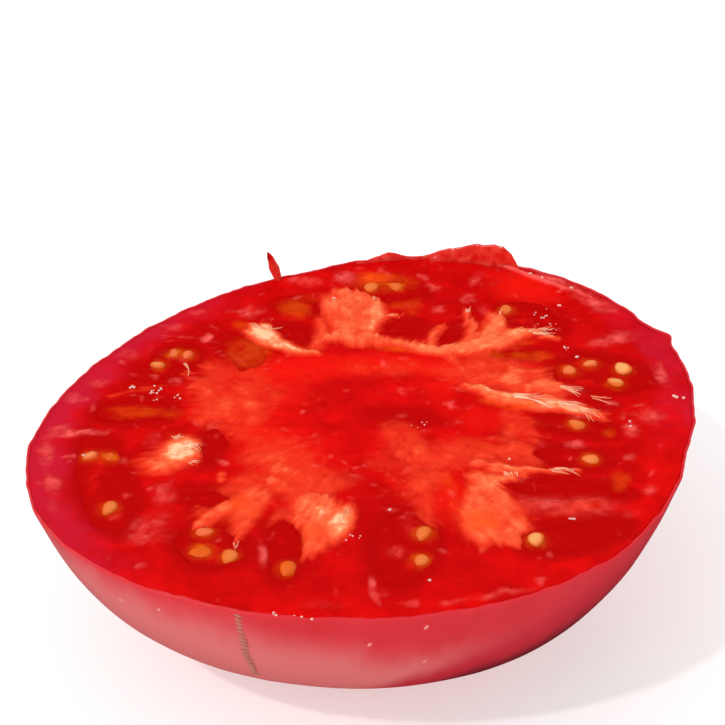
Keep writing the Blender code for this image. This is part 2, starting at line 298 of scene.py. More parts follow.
# %% Arms of the placenta
# A row is the way that the arm runs, its widths along the way, and its strength.
SALMON_ARMS = (
    (((-9.5, 18.6), (-14, 19.9), (-18, 22.4), (-20.6, 26.4)), (1.0, 2.0, 3.6, 4.6), 0.95),
    (((-10, 20), (-8.6, 26), (-9, 30)), (2.6, 3.4, 2.6), 0.46),
    (((-8, 24), (0, 23.5), (5, 22), (10, 20.6), (14, 19.5)), (3, 3.6, 3, 3, 3), 0.7),
    (((14, 19.5), (18, 21), (24, 22.5), (29, 25)), (3, 4.2, 5, 3), 0.72),
    (((-2, 24), (-3, 30), (-3.5, 36)), (7, 10, 12), 0.62),
    (((0.6, 26), (1.6, 33), (2.2, 38)), (2.4, 4, 1.4), 0.78), (((-7, 34), (-6.2, 38)), (3, 1.2), 0.75),
    (((12, 21), (12.6, 25), (14.2, 28)), (2.2, 1.8, 1.0), 0.72),
    (((19, 21), (19.5, 28), (19, 34)), (4, 2.4, 0.8), 0.62),
    (((22, 22), (24, 28), (25.6, 33)), (5, 4.2, 0.9), 0.78),
    (((24, 23), (29, 25.5), (34, 27)), (5, 4, 0.9), 0.74),
    (((17.5, 7.8), (24, 4.5), (31, 2.6), (37, 0.6), (41, -1.6)), (1.8, 4, 5, 3.6, 1.4), 0.78),
    (((15, 19), (17.5, 13), (20, 7)), (2.6, 2, 1.6), 0.5),
    (((21, -16.5), (28, -17.2), (35, -16.6)), (3, 1.8, 0.8), 0.76),
    (((18, -19), (19.5, -25), (20.5, -31.5)), (4, 8, 11.5), 0.57),
    (((26, -18), (20, -20), (17.5, -24)), (2, 4, 3), 0.7),
    (((10, -22), (9.6, -31), (9, -36)), (2.0, 2.4, 1.4), 0.34),
    (((-9, -28), (-8, -33), (-9, -38.5)), (9, 6.5, 3.4), 0.62),
    (((-8, -28.4), (-3.2, -28.8)), (3.4, 1.4), 0.8),
    (((-19, -24), (-21, -31), (-21.6, -38)), (6, 3.6, 1.2), 0.52),
    (((-24, -27), (-27, -31)), (3.4, 2.8), 0.6),
    (((-35, 15), (-33.4, 12), (-32.6, 10)), (0.9, 0.8, 0.5), 0.5),
    (((-36, 19), (-35, 15)), (1.4, 0.9), 0.45), (((-33.6, 18), (-35, 15)), (1.2, 0.9), 0.4),
    (((-46, 5), (-42, 6.6), (-38, 7.6)), (0.8, 0.9, 0.7), 0.42),
    (((-43, 2.4), (-39, 3.6), (-37.4, 4.4)), (0.5, 0.7, 0.5), 0.36),
    (((33, 24.6), (36, 24.2)), (0.9, 0.7), 0.7), (((3, 31.6), (6.4, 32)), (0.9, 0.7), 0.72),
)
print(len(SALMON_ARMS), "arms")

# %% Cream ends of the arms
CREAM_AREAS = (
    (-20.4, 25, 4.4, 7, 35, 0.95), (-15, 20.2, 9, 1.8, -18, 0.85), (-5, 36.5, 7, 3.4, 0, 0.65),
    (1.2, 34, 2.6, 9, -8, 0.7), (-2, 27, 4, 6, 0, 0.4), (11.5, 19.8, 8, 3.4, -12, 0.8),
    (24.6, 29.6, 3.4, 7, 20, 0.72), (27.5, 25, 9, 3.4, 20, 0.72), (22, 6.4, 8, 2.0, -28, 0.8),
    (27, 4.4, 9, 2.6, -16, 0.75), (36, 0.9, 10, 3.0, -22, 0.9), (32.6, 8, 8, 5, -12, 0.6),
    (-32.6, -11.6, 6.4, 8.5, -15, 0.95), (19, -15, 4, 2.6, 0, 0.62),
    (-15.6, -16.6, 2.4, 4.4, -10, 0.55), (-16.4, -20, 2.6, 2.2, 0, 0.62), (-29, 6, 1.6, 1.6, 0, 0.5),
    (-29.2, 14, 1.6, 3, -20, 0.4), (-25, -19, 1.6, 2.8, 0, 0.48), (-27, -31, 2.4, 2, 0, 0.6),
    (-4.8, -31.4, 4.0, 9.5, -18, 0.9), (-8.4, -31, 5.5, 7, -10, 0.5), (-12, -30, 5, 2, -30, 0.4),
    (5.6, -12.5, 3, 3, 0, 0.4), (17, -34, 4, 2, 0, 0.3), (19.5, -22, 5, 6, 0, 0.5),
    (22.5, -33.5, 5, 5, 0, 0.45), (34.6, 24.4, 2.4, 1.0, -8, 0.8), (4.6, 31.7, 3.0, 0.9, 8, 0.8),
    (13.8, 27.4, 2, 2, 0, 0.5), (27, -12, 3, 8, 10, 0.4), (23, 19, 12, 2, 12, 0.35),
)
print(len(CREAM_AREAS), "cream areas")

# %% Pale tissue as fields


def frayed(x, y, by=1):
    """Points pushed back and forth along the way from the core, in streaks, so that ends fray."""
    bearing = np.arctan2(y, x)
    push = by * (0.5 + 1.6 * rise(20, 32, np.hypot(x, y))) * streaks(x, y, 9, 31)
    return x + push * np.cos(bearing), y + push * np.sin(bearing)


def lumps(x, y):
    """Cloudy pulp from 0 to 1, in soft lumps of 2 to 3 mm."""
    return rise(-0.75, 0.75, clouds(x, y, 2.6, 23))


def arm_field(x, y):
    """The arms and the cream in them, which lie over the pockets' edges."""
    arms = strokes(*frayed(*wander(x, y, 0.9, 3.5, 21)), SALMON_ARMS, 2.6)
    cream = ovals(*frayed(*wander(x, y, 0.5, 2.2, 27), 0.4), CREAM_AREAS, 0.6)
    return np.maximum(arms * (0.82 + 0.25 * lumps(x, y)), cream)


def pale_field(x, y):
    """How pale the placental tissue is: 0 is red pulp, 0.5 is salmon and 1 is cream."""
    areas = ovals(*frayed(*wander(x, y, 1.5, 4.5, 29)), SALMON_AREAS, 0.7)
    flecks = rise(0.3, 0.8, clouds(x, y, 1.3, 25)) * rise(0.9, 0.7, face_share(x, y))
    cloudy = areas * (0.5 + 0.6 * lumps(x, y) + 0.3 * clouds(x, y, 6, 26)) + 0.16 * flecks
    return np.maximum(cloudy, arm_field(x, y)) * (1 + 0.14 * streaks(x, y, 5, 33))


def locule_depth(x, y):
    """How far a point is inside the open part of a pocket: arms that lie over it count as flesh."""
    return np.minimum(pocket_depth(x, y), 6 * (0.42 - arm_field(x, y)))


print("arms cover", int((arm_field(*centres.T) > 0.42).sum()), "of the pockets' middles")

# %% [markdown]
# The jelly is dark red where it is thin over the flesh, and olive to orange-brown where it is thick and
# light shines through it. Small cloudy pink spots are vascular bundles and air-filled tissue.

# %% Dark red areas
DEEP_AREAS = (
    (7, -1.5, 22, 7, -6, 0.8), (-6, -5, 14, 5, 0, 0.35), (5, 28, 8, 6, -10, 0.9),
    (14, 26, 5, 6, 0, 0.8), (8.5, 25, 6, 5, 0, 0.8), (-13.6, -33, 4, 11, 0, 0.95),
    (-28.5, -26, 7, 6, 0, 0.85), (-24, -33, 3, 5, 0, 0.5), (-40, 11, 12, 16, 10, 0.85),
    (-33, 22, 9, 14, 0, 0.6), (-45, -20, 14, 22, 0, 0.9), (-34, -6, 10, 4, 20, 0.7),
    (-26.5, -12, 6, 9, 0, 0.7), (23.5, -6.5, 4.4, 6, 0, 0.9), (41, 2.5, 9, 5, 0, 0.9),
    (-2, -30, 7, 10, 0, 0.8), (2, -24, 7, 5, 0, 0.5), (31, 31, 9, 9, 0, 0.85),
    (22.5, 17.8, 5, 2.4, 0, 0.8), (14, 48, 24, 9, 0, 0.55), (14, 34, 10, 12, 0, 0.5),
    (0, -46, 60, 9, 0, 0.45), (-14, 40, 26, 8, 8, 0.5), (38, -13, 14, 6, 0, 0.8),
    (33, -21, 20, 5, -3, 0.9), (33, -33, 18, 7, 10, 0.9), (-48, -36, 10, 10, 0, 0.3),
)
print(len(DEEP_AREAS), "dark red areas")

# %% Brighter pulp
GLOW_AREAS = (
    (-20, 2, 22, 26, 0, 0.55), (-12, 14, 26, 8, 0, 0.7), (6, 15, 34, 7, 0, 0.7),
    (13, 8, 8, 12, 0, 0.6), (31, 42, 15, 13, -35, 0.85), (20, -2, 12, 8, 0, 0.6),
    (-13, -12, 20, 12, -20, 0.6), (14, -24, 8, 16, 0, 0.6), (50, -18, 8, 22, 15, 0.4),
)
print(len(GLOW_AREAS), "bright areas")

# %% Olive and amber areas
OLIVE_AREAS = (
    (-22.5, 19, 8.5, 11, 15, 0.85), (-24.2, 28, 4, 4.4, 0, 0.7), (-14.5, 34, 5.4, 8, 35, 0.9),
    (-10.5, 38.5, 6, 4, 0, 0.5), (3, 44, 13, 7, 0, 0.85), (8.8, 34, 3.4, 8, -15, 0.55),
    (6, 36, 8, 3, 20, 0.5), (29, 18, 10, 3.6, 0, 0.9), (23, 18.4, 4, 2.4, 0, 0.9),
    (28.6, 22, 8, 2, 20, 0.6), (-41.5, 0, 12, 4.4, 0, 0.8), (-34.5, -1, 4, 3, 0, 0.7),
    (-27, -38, 4.6, 4, 0, 0.9), (-44.4, -13, 1.6, 3.4, 0, 0.7), (42, -20, 4, 6, -20, 0.7),
    (42, -6, 3, 3, 0, 0.7), (31, -3.5, 8, 3, 0, 0.35), (19.5, -30, 11, 9, 0, 0.5),
    (-21, -28, 8, 12, -20, 0.5), (-9, -36, 6, 7, 0, 0.5), (-14, -17, 16, 12, 0, 0.35),
    (26, 2.6, 12, 3, -12, 0.85), (5, 20.6, 12, 3, 0, 0.7), (-3, 28, 8, 10, 0, 0.5),
)
AMBER_AREAS = (
    (18.5, -30.5, 8, 8, 0, 0.8), (13, -22, 4, 12, 0, 0.5), (26, 2.2, 12, 3.4, -12, 0.7),
    (6, 20, 12, 2.6, -8, 0.5), (2, 14, 12, 3, 0, 0.4), (-14, -17, 10, 8, 0, 0.35),
    (-9, -34, 5, 8, 0, 0.6), (-21, -27, 7, 9, -20, 0.6), (-3, 28, 8, 8, 0, 0.5),
    (20, -10, 6, 5, 0, 0.4), (-24, 4, 10, 12, 0, 0.3), (1.5, 46, 9, 5, 0, 0.8),
)
print(len(OLIVE_AREAS), "olive and", len(AMBER_AREAS), "amber areas")

# %% Cloudy pink spots
PINK_CLOUDS = (
    (-30.4, 24, 1.6, 3, -20, 0.8), (-36, 24.4, 8, 1.2, -10, 0.4), (-38, 27.6, 6, 3, 0, 0.4),
    (-33, 33, 5, 3, 30, 0.45), (-23, 33, 4, 5, 0, 0.5), (-36.4, 17.6, 1.6, 3, 0, 0.55),
    (-34, 17, 1.8, 3.6, 0, 0.55), (-45, 18, 5, 4, 0, 0.4), (-53, 4, 3, 3.4, 0, 0.6),
    (-49, 9, 4, 3, 0, 0.5), (-50, -6.2, 9, 2.2, 8, 0.8), (-54, -4.6, 4, 2, 20, 0.5),
    (-55.6, -12, 3, 9, 5, 0.6), (-53, -21, 2.6, 6, 15, 0.65), (-52, -27, 2, 4, 15, 0.4),
    (-34, -23.6, 3.4, 8, 5, 0.6), (-36, -33, 8, 8, 0, 0.5), (-42, -14.6, 2, 2.4, -20, 0.5),
    (-37.6, -8, 2.4, 5, -35, 0.4), (-46, -18, 1.2, 3, -20, 0.4), (-17, -38.6, 1.5, 6, 6, 0.8),
    (0.6, -47.5, 1.4, 6, 12, 0.75), (20, -48.2, 12, 1.6, 14, 0.55), (12, -50, 4, 2, 10, 0.4),
    (-7, -50.5, 7, 2, 0, 0.4), (4, -38, 4, 3, 0, 0.6), (7, -31, 4, 6, 0, 0.4),
    (3.6, -27.6, 2, 1.4, 0, 0.7), (-4.6, 46, 4.6, 4.6, 0, 0.65), (-12, 44.4, 6, 4, 0, 0.45),
    (-16, 45, 4, 2.4, 40, 0.4), (13.6, 34, 2.8, 3.2, 0, 0.75), (19.6, 38, 3.4, 3.6, -20, 0.75),
    (12.8, 42, 3, 3, 0, 0.6), (11, 46, 2, 6, 20, 0.5), (21, 44.4, 2.4, 3.4, -20, 0.7),
    (15, 49, 2.4, 1.6, 0, 0.4), (22.4, 34, 2.6, 4.6, 0, 0.35), (47, 24, 9, 5, 25, 0.5),
    (44, 22.4, 8, 3, 15, 0.4), (44, 37, 10, 4.4, -42, 0.75), (38.5, 44.6, 13, 3, -38, 0.75),
    (26.4, 52, 5, 1.6, -25, 0.5), (53.6, 12, 2, 7, -5, 0.75), (50, -1, 6, 5, 0, 0.55),
    (46, -5.4, 3, 4, 0, 0.75), (35.6, -9.6, 4, 2.6, 0, 0.7), (30, -10, 3, 2, 0, 0.4),
    (44.5, -13.5, 3, 2.4, 30, 0.5), (50.4, -10, 1.6, 2, 0, 0.45), (28, -26, 9, 5, 0, 0.5),
    (36, -26.5, 11, 6, 0, 0.5), (47, -22.4, 3.4, 2, 40, 0.55), (43, -28.6, 3, 2, 30, 0.4),
    (-20, 10, 3, 2, 20, 0.3), (36.4, 7.6, 5, 3, -30, 0.6), (15.4, -3, 2, 2, 0, 0.5),
    (10, -6, 2, 2, 0, 0.4), (-9.4, -7.6, 3, 2, 0, 0.4), (-12.6, -7.4, 1.6, 1.4, 0, 0.5),
    (-27.4, -4, 1.6, 2, 0, 0.6), (-2.4, -18.4, 4, 1.6, -30, 0.4), (8, 7, 3, 2, 0, 0.3),
    (2, 6, 3, 2, 20, 0.25), (6, -1, 2.4, 1.4, 30, 0.35),
)
print(len(PINK_CLOUDS), "pink clouds")

# %% Specks
# Between the clouds the pulp is full of small pale specks, at random places that never change.
SPECKS = 380
pick = np.random.default_rng(5)
speck_reach, speck_turn = np.sqrt(pick.uniform(0.02, 0.95, SPECKS)), pick.uniform(0, 2 * np.pi, SPECKS)
SPECK_ROWS = tuple(
    (
        reach * rim(turn) * math.cos(turn),
        reach * rim(turn) * math.sin(turn),
        pick.uniform(0.7, 3.0),
        pick.uniform(0.6, 1.7),
        pick.uniform(0, 180),
        pick.uniform(0.15, 0.6),
    )
    for reach, turn in zip(speck_reach, speck_turn)
)
print(len(SPECK_ROWS), "specks")

# %% Tissues as fields


def face_share(x, y):
    """The share of the way from the middle of the face to the rim."""
    return np.hypot(x, y) / rim(np.arctan2(y, x))


def deep_field(x, y):
    """Dark red: inside and just round the pockets, and in the dark areas."""
    near = rise(-4.2, 0.0, locule_depth(x, y))
    share = face_share(x, y)
    uneven = 0.9 + 0.5 * clouds(x, y, 6, 42) + 0.3 * clouds(x, y, 1.8, 40)
    ring = 0.5 * rise(0.48, 0.62, share) * rise(0.96, 0.86, share) * uneven
    return np.maximum(np.maximum(near, ring), ovals(*wander(x, y, 1.4, 4, 41), DEEP_AREAS, 0.6))


def glow_field(x, y):
    """Brighter, warmer pulp."""
    return ovals(*wander(x, y, 1.4, 5, 45), GLOW_AREAS, 0.8)


def olive_field(x, y):
    """Orange to olive: thick, clear tissue that light shines through."""
    uneven = 0.8 + 0.35 * clouds(x, y, 3.6, 46) + 0.25 * clouds(x, y, 1.2, 44)
    return ovals(*wander(x, y, 0.9, 3, 43), OLIVE_AREAS, 0.7) * uneven


def amber_field(x, y):
    """Orange, watery tissue that lies over the salmon."""
    return ovals(*wander(x, y, 1.2, 4, 57), AMBER_AREAS, 0.8) * (0.85 + 0.35 * clouds(x, y, 2.4, 58))


def pink_field(x, y):
    """Cloudy pink spots and specks, torn up by fine clouds."""
    x, y = wander(x, y, 0.7, 2.2, 47)
    found = np.maximum(ovals(x, y, PINK_CLOUDS, 0.85), ovals(x, y, SPECK_ROWS, 0.8))
    return found * (0.8 + 0.45 * clouds(x, y, 2.2, 48) + 0.55 * clouds(x, y, 0.9, 49))


def crimson_field(x, y):
    """The cooler, pinker wall: along the left of the rim, and more faintly on the right."""
    share = face_share(x, y) + 0.02 * clouds(x, y, 6, 53)
    share = share + 0.035 * clouds(x, y, 11, 55)
    left = rise(-14, -46, x - 0.15 * y) * rise(0.79, 0.97, share)
    right = 0.7 * rise(36, 50, x) * rise(0.82, 0.92, share) * rise(-22, 4, y)
    return np.maximum(left, right) * (0.75 + 0.4 * clouds(x, y, 4, 51))


depth = deep_field(*centres.T)
print("the pockets' middles are dark red:", round(depth.min(), 2), "to", round(depth.max(), 2))

# %% [markdown]
# ## The relief of the face
#
# A knife leaves the face level, but not flat. The firm placental arms stand a little proud, the pulp
# sinks between them, and each locule is a hollow that its jelly fills almost to the top. On the torn
# side a raised lip runs a few millimetres inside the rim, where the wall was pulled instead of cut. A
# Displace modifier could lift the surface, but heights in the mesh itself are exact and are exported.

# %% Height of the flesh
POCKET_DEPTH = 2.6
POCKET_WALL = 4.4
ARM_RISE = 0.35
PINK_RISE = 0.12
SOFT_RELIEF = 0.14
FINE_RELIEF = 0.10
LIP_RISE = 0.75
BEHIND_LIP = 0.25
LIP_PATH = ((25, 51.5), (28.5, 49.5), (32, 46.8), (36, 43.6), (41, 40.6), (44, 38))
LIP_WIDTHS = (0.5, 1.1, 1.3, 1.2, 1.0, 0.4)


def lip_field(x, y):
    """1 on the crest of the torn lip, and 0 away from it."""
    return stroke(*wander(x, y, 0.4, 2, 61), LIP_PATH, LIP_WIDTHS, 0.9)


def flesh_height(x, y):
    """The height of the flesh over the cut plane: arms up, pockets down, and soft unevenness."""
    share = face_share(x, y)
    height = SOFT_RELIEF * clouds(x, y, 7, 63) + FINE_RELIEF * clouds(x, y, 1.4, 67)
    height += ARM_RISE * rise(0.2, 0.7, pale_field(x, y)) + PINK_RISE * rise(0.3, 0.8, pink_field(x, y))
    height += LIP_RISE * lip_field(x, y) - BEHIND_LIP * rise(0.9, 0.97, share) * rise(20, 34, x + y - 42)
    height = height * rise(1.0, 0.985, share)
    return height - POCKET_DEPTH * rise(-0.4, POCKET_WALL, locule_depth(x, y))


print("the pockets' floors are down to", round(flesh_height(*centres.T).min(), 1), "mm")

# %% [markdown]
# ## Making meshes
#
# Every new surface is a grid of points. A face lists its corners counterclockwise as seen from outside,
# so that its normal points out. `add_piece` makes the object, gives it its material and lets it ride on
# the imported body.

# %% Helpers for meshes


def grid_faces(rows, columns, wrap=False):
    """The four corners of every cell of a grid of points. A wrapped grid joins its last column."""
    r, c = np.meshgrid(np.arange(rows - 1), np.arange(columns - (not wrap)), indexing="ij")
    ahead = (c + 1) % columns
    corners = (r * columns + c, r * columns + ahead, (r + 1) * columns + ahead, (r + 1) * columns + c)
    return np.stack(corners, axis=-1).reshape(-1, 4)


def closed_rings(rings):
    """Points and faces of a closed form from rings of points, with a pole over each end."""
    rows, columns, _ = rings.shape
    points = np.concatenate([rings.reshape(-1, 3), rings[:1].mean(axis=1), rings[-1:].mean(axis=1)])
    first, last = rows * columns, rows * columns + 1
    ring = np.arange(columns)
    ahead = (ring + 1) % columns
    start = np.stack([ahead, ring, np.full(columns, first)], axis=-1)
    base = (rows - 1) * columns
    end = np.stack([base + ring, base + ahead, np.full(columns, last)], axis=-1)
    return points, [*grid_faces(rows, columns, True).tolist(), *start.tolist(), *end.tolist()]


def joined(forms):
    """Several (points, faces) forms as one."""
    points, faces, count = [], [], 0
    for form_points, form_faces in forms:
        points.append(form_points)
        faces += [[corner + count for corner in face] for face in form_faces]
        count += len(form_points)
    return np.concatenate(points), faces


def add_piece(name, points, faces, material, replaces=(), fields=None):
    """A smooth-shaded object from points in millimetres, with its fields stored as attributes."""
    mesh = bpy.data.meshes.new(name)
    mesh.from_pydata((np.asarray(points) * MM).tolist(), [], faces)
    mesh.materials.append(material)
    mesh.shade_smooth()
    for field, values in (fields or {}).items():
        attribute = mesh.attributes.new(field, "FLOAT", "POINT")
        attribute.data.foreach_set("value", np.asarray(values, np.float32))
    made = bpy.data.objects.new(name, mesh)
    bpy.context.scene.collection.objects.link(made)
    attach(made, "root")
    if replaces:
        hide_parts(*replaces)
    print(name, len(mesh.vertices), "points,", sum(len(face) - 2 for face in faces), "triangles")
    return made


print("a grid of 3 by 3 points has", len(grid_faces(3, 3)), "cells")

# %% [markdown]
# ## Making materials
#
# Colours are written as sRGB hex codes, and `linear` turns them into the amounts of light that a shader
# needs. `add_node` adds any node with its settings and links. Patterns use Object
# coordinates, which are true metres here, so a grain of 0.4 mm is 0.4 mm on every piece.

# %% Helpers for materials


def linear(hex_colour):
    """An sRGB hex colour as linear red, green, blue and alpha."""
    parts = [int(hex_colour[k : k + 2], 16) / 255 for k in (1, 3, 5)]
    return (*[p / 12.92 if p <= 0.04045 else ((p + 0.055) / 1.055) ** 2.4 for p in parts], 1)


def add_node(tree, kind, inputs=(), **settings):
    """Adds a shader node. Settings are its properties, and inputs are values or sockets to link."""
    made = tree.nodes.new("ShaderNode" + kind)
    for setting, value in settings.items():
        setattr(made, setting, value)
    for key, value in dict(inputs).items():
        if isinstance(value, bpy.types.NodeSocket):
            tree.links.new(value, made.inputs[key])
        else:
            made.inputs[key].default_value = value
    return made


def start_material(name):
    """A material with only an output node, its node tree, and Object coordinates."""
    material = bpy.data.materials.new(name)
    material.use_nodes = True
    tree = material.node_tree
    tree.nodes.clear()
    output = add_node(tree, "OutputMaterial")
    place = add_node(tree, "TexCoord").outputs["Object"]
    return material, tree, output, place


def per_metre(millimetres):
    """The scale of a noise whose features are about this many millimetres wide."""
    return 1 / (millimetres * MM)


def mottled(tree, noise, low, high, dark, light):
    """Two tones of one colour: the noise, stretched from low to high, says how much of the light one."""
    ramp = add_node(tree, "MapRange", {"Value": noise, "From Min": low, "From Max": high})
    tones = {0: ramp.outputs[0], 6: linear(dark), 7: linear(light)}
    return add_node(tree, "Mix", tones, data_type="RGBA").outputs[2]


print("half bright grey gives", round(linear("#808080")[0], 3), "of the light")

# %% [markdown]
# ## Wet cut flesh
#
# Ripe tomato flesh is mostly water, so light goes in and comes out again a millimetre or two away, the
# red furthest. That is subsurface scattering, with a long radius in red. The cut cells leave a film of
# juice, which is the coat: smoother than the flesh under it, and broken by fine cells of 0.4 mm, so that
# it glints in points. The fields only say where each tissue is. Noise of 0.5 to 1 mm moves their edges
# in the material, so that an edge is finer than the mesh.

# %% Tissues of the wet flesh
# A row is the field, the tissue's colour, and the field's values where it starts and is full.
TISSUES = (
    ("deep", "#BA0000", 0.15, 0.95),
    ("glow", "#EE1003", 0.1, 1.0),
    ("crimson", "#C81630", 0.15, 0.95),
    ("olive", "#DC3C04", 0.15, 0.95),
    ("pink", "#F4605A", 0.08, 1.1),
    ("pale", "#EE3C20", 0.04, 0.5),
    ("pale", "#FB7E4E", 0.38, 0.86),
    ("amber", "#FA520C", 0.2, 1.1),
    ("pale", "#FFCCA0", 0.72, 1.05),
)


def out_from_core(tree, place, across, along):
    """Coordinates for grain that runs outwards: a turn scaled across, and a radius scaled along."""
    flat = add_node(
        tree, "VectorMath", {0: place, 1: (1, 1, 0)}, operation="MULTIPLY"
    ).outputs["Vector"]
    turn = add_node(tree, "VectorMath", {0: flat}, operation="NORMALIZE").outputs["Vector"]
    wide = add_node(
        tree, "VectorMath", {0: turn, "Scale": 25 / across}, operation="SCALE"
    ).outputs["Vector"]
    radius = add_node(tree, "VectorMath", {0: flat}, operation="LENGTH").outputs["Value"]
    long = add_node(tree, "Math", {0: radius, 1: per_metre(along)}, operation="MULTIPLY").outputs[0]
    up = add_node(tree, "CombineXYZ", {"Z": long}).outputs[0]
    return add_node(tree, "VectorMath", {0: wide, 1: up}, operation="ADD").outputs["Vector"]


def layer_tissues(tree, place, base, tissues, edge):
    """Lays tissues over a base colour. A tissue shows where its field, times fine grain, is high."""
    cells = add_node(
        tree, "TexNoise", {"Vector": place, "Scale": per_metre(1.7), "Detail": 5.0, "Roughness": 0.55}
    ).outputs["Fac"]
    threads = add_node(
        tree, "TexNoise", {"Vector": out_from_core(tree, place, 0.6, 5), "Scale": 1.0, "Detail": 3.0}
    ).outputs["Fac"]
    both = add_node(tree, "Math", {0: threads, 1: 0.5, 2: cells}, operation="MULTIPLY_ADD").outputs[0]
    grain = add_node(
        tree, "Math", {0: both, 1: edge, 2: 1 - 0.75 * edge}, operation="MULTIPLY_ADD"
    ).outputs[0]
    colour = base
    for field, hex_colour, low, high in tissues:
        value = add_node(tree, "Attribute", attribute_name=field).outputs["Fac"]
        grained = add_node(tree, "Math", {0: value, 1: grain}, operation="MULTIPLY").outputs[0]
        share = add_node(
            tree,
            "MapRange",
            {"Value": grained, "From Min": low, "From Max": high},
            interpolation_type="SMOOTHSTEP",
        ).outputs[0]
        colour = add_node(
            tree, "Mix", {0: share, 6: colour, 7: linear(hex_colour)}, data_type="RGBA"
        ).outputs[2]
    return colour


print(len(TISSUES), "layers of tissue")

# %% Wet flesh material


def wet_flesh():
    """Cut tomato flesh under a film of juice."""
    material, tree, output, place = start_material("wet_cut_tomato_flesh")
    mottle = add_node(
        tree, "TexNoise", {"Vector": place, "Scale": per_metre(5), "Detail": 3.0, "Roughness": 0.55}
    ).outputs["Fac"]
    red = mottled(tree, mottle, 0.35, 0.65, "#C40001", "#DE0303")
    colour = layer_tissues(tree, place, red, TISSUES, 0.8)
    cells = add_node(
        tree, "TexNoise", {"Vector": place, "Scale": per_metre(0.45), "Detail": 3.0, "Roughness": 0.6}
    ).outputs["Fac"]
    waves_of_juice = add_node(
        tree, "TexNoise", {"Vector": place, "Scale": per_metre(2.2), "Detail": 2.0}
    ).outputs["Fac"]
    fine = add_node(tree, "Bump", {"Height": cells, "Strength": 0.2, "Distance": 0.10 * MM}).outputs[0]
    film = add_node(
        tree, "Bump", {"Height": waves_of_juice, "Normal": fine, "Strength": 0.3, "Distance": 0.5 * MM}
    ).outputs[0]
    shader = add_node(
        tree,
        "BsdfPrincipled",
        {
            "Base Color": colour,
            "Roughness": 0.24,
            "IOR": 1.34,
            "Specular IOR Level": 0.2,
            "Subsurface Weight": 0.5,
            "Subsurface Radius": (1.0, 0.22, 0.12),
            "Subsurface Scale": 0.7 * MM,
            "Coat Weight": 0.35,
            "Coat Roughness": 0.05,
            "Coat IOR": 1.33,
            "Normal": film,
            "Coat Normal": film,
        },
    )
    tree.links.new(shader.outputs[0], output.inputs["Surface"])
    return material


FLESH = wet_flesh()
print(FLESH.name, len(FLESH.node_tree.nodes), "nodes")

# %% [markdown]
# The flesh is one closed form. Its top is a square grid bent onto the face: each square ring of the
# grid becomes a ring of the outline, so the points stay evenly spaced with none crowded at a pole. The
# grid's border then carries on down as rings just inside the skin, to a pole at the bottom. Rings
# from a pole in the middle of the face would be simpler, but too dense there and too coarse at the rim.

# %% Flesh of the half
FACE_GRID = 284
SKIN_THICKNESS = 0.45
INNER_RINGS = 8
CLEAR_OF_SKIN = 0.012
LOWEST = 2.5


def square_to_disk(side):
    """Reach and bearing of a square grid bent to a disk: a point on a square ring keeps that ring."""
    a, b = np.meshgrid(np.linspace(-1, 1, side), np.linspace(-1, 1, side))
    a, b = a + 1e-9, b + 2e-9
    wide = abs(a) > abs(b)
    reach = np.where(wide, abs(a), abs(b))
    turn = np.where(wide, np.pi / 4 * b / a, np.pi / 2 - np.pi / 4 * a / b)
    turn = np.where(np.where(wide, a, b) < 0, turn + np.pi, turn)
    return np.clip(reach, 0, 1), turn


def border_of(side):
    """The indices of a square grid's border points, counterclockwise from its lower left corner."""
    low = np.arange(side - 1)
    right = side - 1 + side * low
    top = side * side - 1 - low
    left = side * (side - 1) - side * low
    return np.concatenate([low, right, top, left])


def fruit_point(reach, bearing, height, ragged=1):
    """Points of the fruit from a share of the rim's radius, a bearing and a height."""
    radius = reach * rim(bearing, ragged)
    return np.stack([radius * np.cos(bearing), radius * np.sin(bearing), height], axis=-1)


def add_flesh():
    """The face's grid with its heights, and under its border rings that shrink as the dome does."""
    reach, bearing = square_to_disk(FACE_GRID)
    inner = 1 - SKIN_THICKNESS / rim(bearing)
    top = fruit_point(reach * inner, bearing, np.full_like(reach, FACE_Z))
    x, y = top[..., 0], top[..., 1]
    top[..., 2] += flesh_height(x, y)
    border = border_of(FACE_GRID)
    edge = bearing.ravel()[border]
    depths = (FACE_Z - LOWEST) * np.sin(np.pi / 2 * np.arange(1, INNER_RINGS + 1) / INNER_RINGS)
    inside = 1 - 2 * SKIN_THICKNESS / rim(edge) - CLEAR_OF_SKIN
    rings = [fruit_point(dome_share(d) * inside, edge, np.full_like(edge, FACE_Z - d), 0) for d in depths]
    points = np.concatenate([top.reshape(-1, 3), *rings, [[0, 0, LOWEST]]])
    count, around = FACE_GRID ** 2, len(border)
    loops = [border] + [count + around * ring + np.arange(around) for ring in range(INNER_RINGS)]
    faces = grid_faces(FACE_GRID, FACE_GRID).tolist()
    for upper, lower in zip(loops, loops[1:]):
        faces += np.stack([upper, lower, np.roll(lower, -1), np.roll(upper, -1)], axis=-1).tolist()
    pole = np.full(around, len(points) - 1)
    faces += np.stack([loops[-1], pole, np.roll(loops[-1], -1)], axis=-1).tolist()
    x, y = points[:, 0], points[:, 1]
    fields = {
        "pale": pale_field(x, y) * rise(0.9, -0.1, locule_depth(x, y)),
        "deep": deep_field(x, y),
        "glow": glow_field(x, y),
        "olive": olive_field(x, y),
        "amber": amber_field(x, y),
        # Along the crest of the torn lip the pink is a painted highlight.
        "pink": np.maximum(pink_field(x, y), 0.95 * lip_field(x, y)),
        "crimson": crimson_field(x, y),
    }
    return add_piece("cut_flesh", points, faces, FLESH, [FRUIT], fields)


add_flesh()

# %% [markdown]
# ## Skin
#
# Tomato skin is a waxy film about half a millimetre thick, glossy but softer in its shine than juice.
# Cut across, it shows as a thin crisp line round the face. It is made as a closed shell: one profile
# runs up the outside, over the cut edge and down the inside, and is carried round the fruit. Solidify
# could thicken a sheet instead, but a profile also rounds the cut edge, which catches the light.

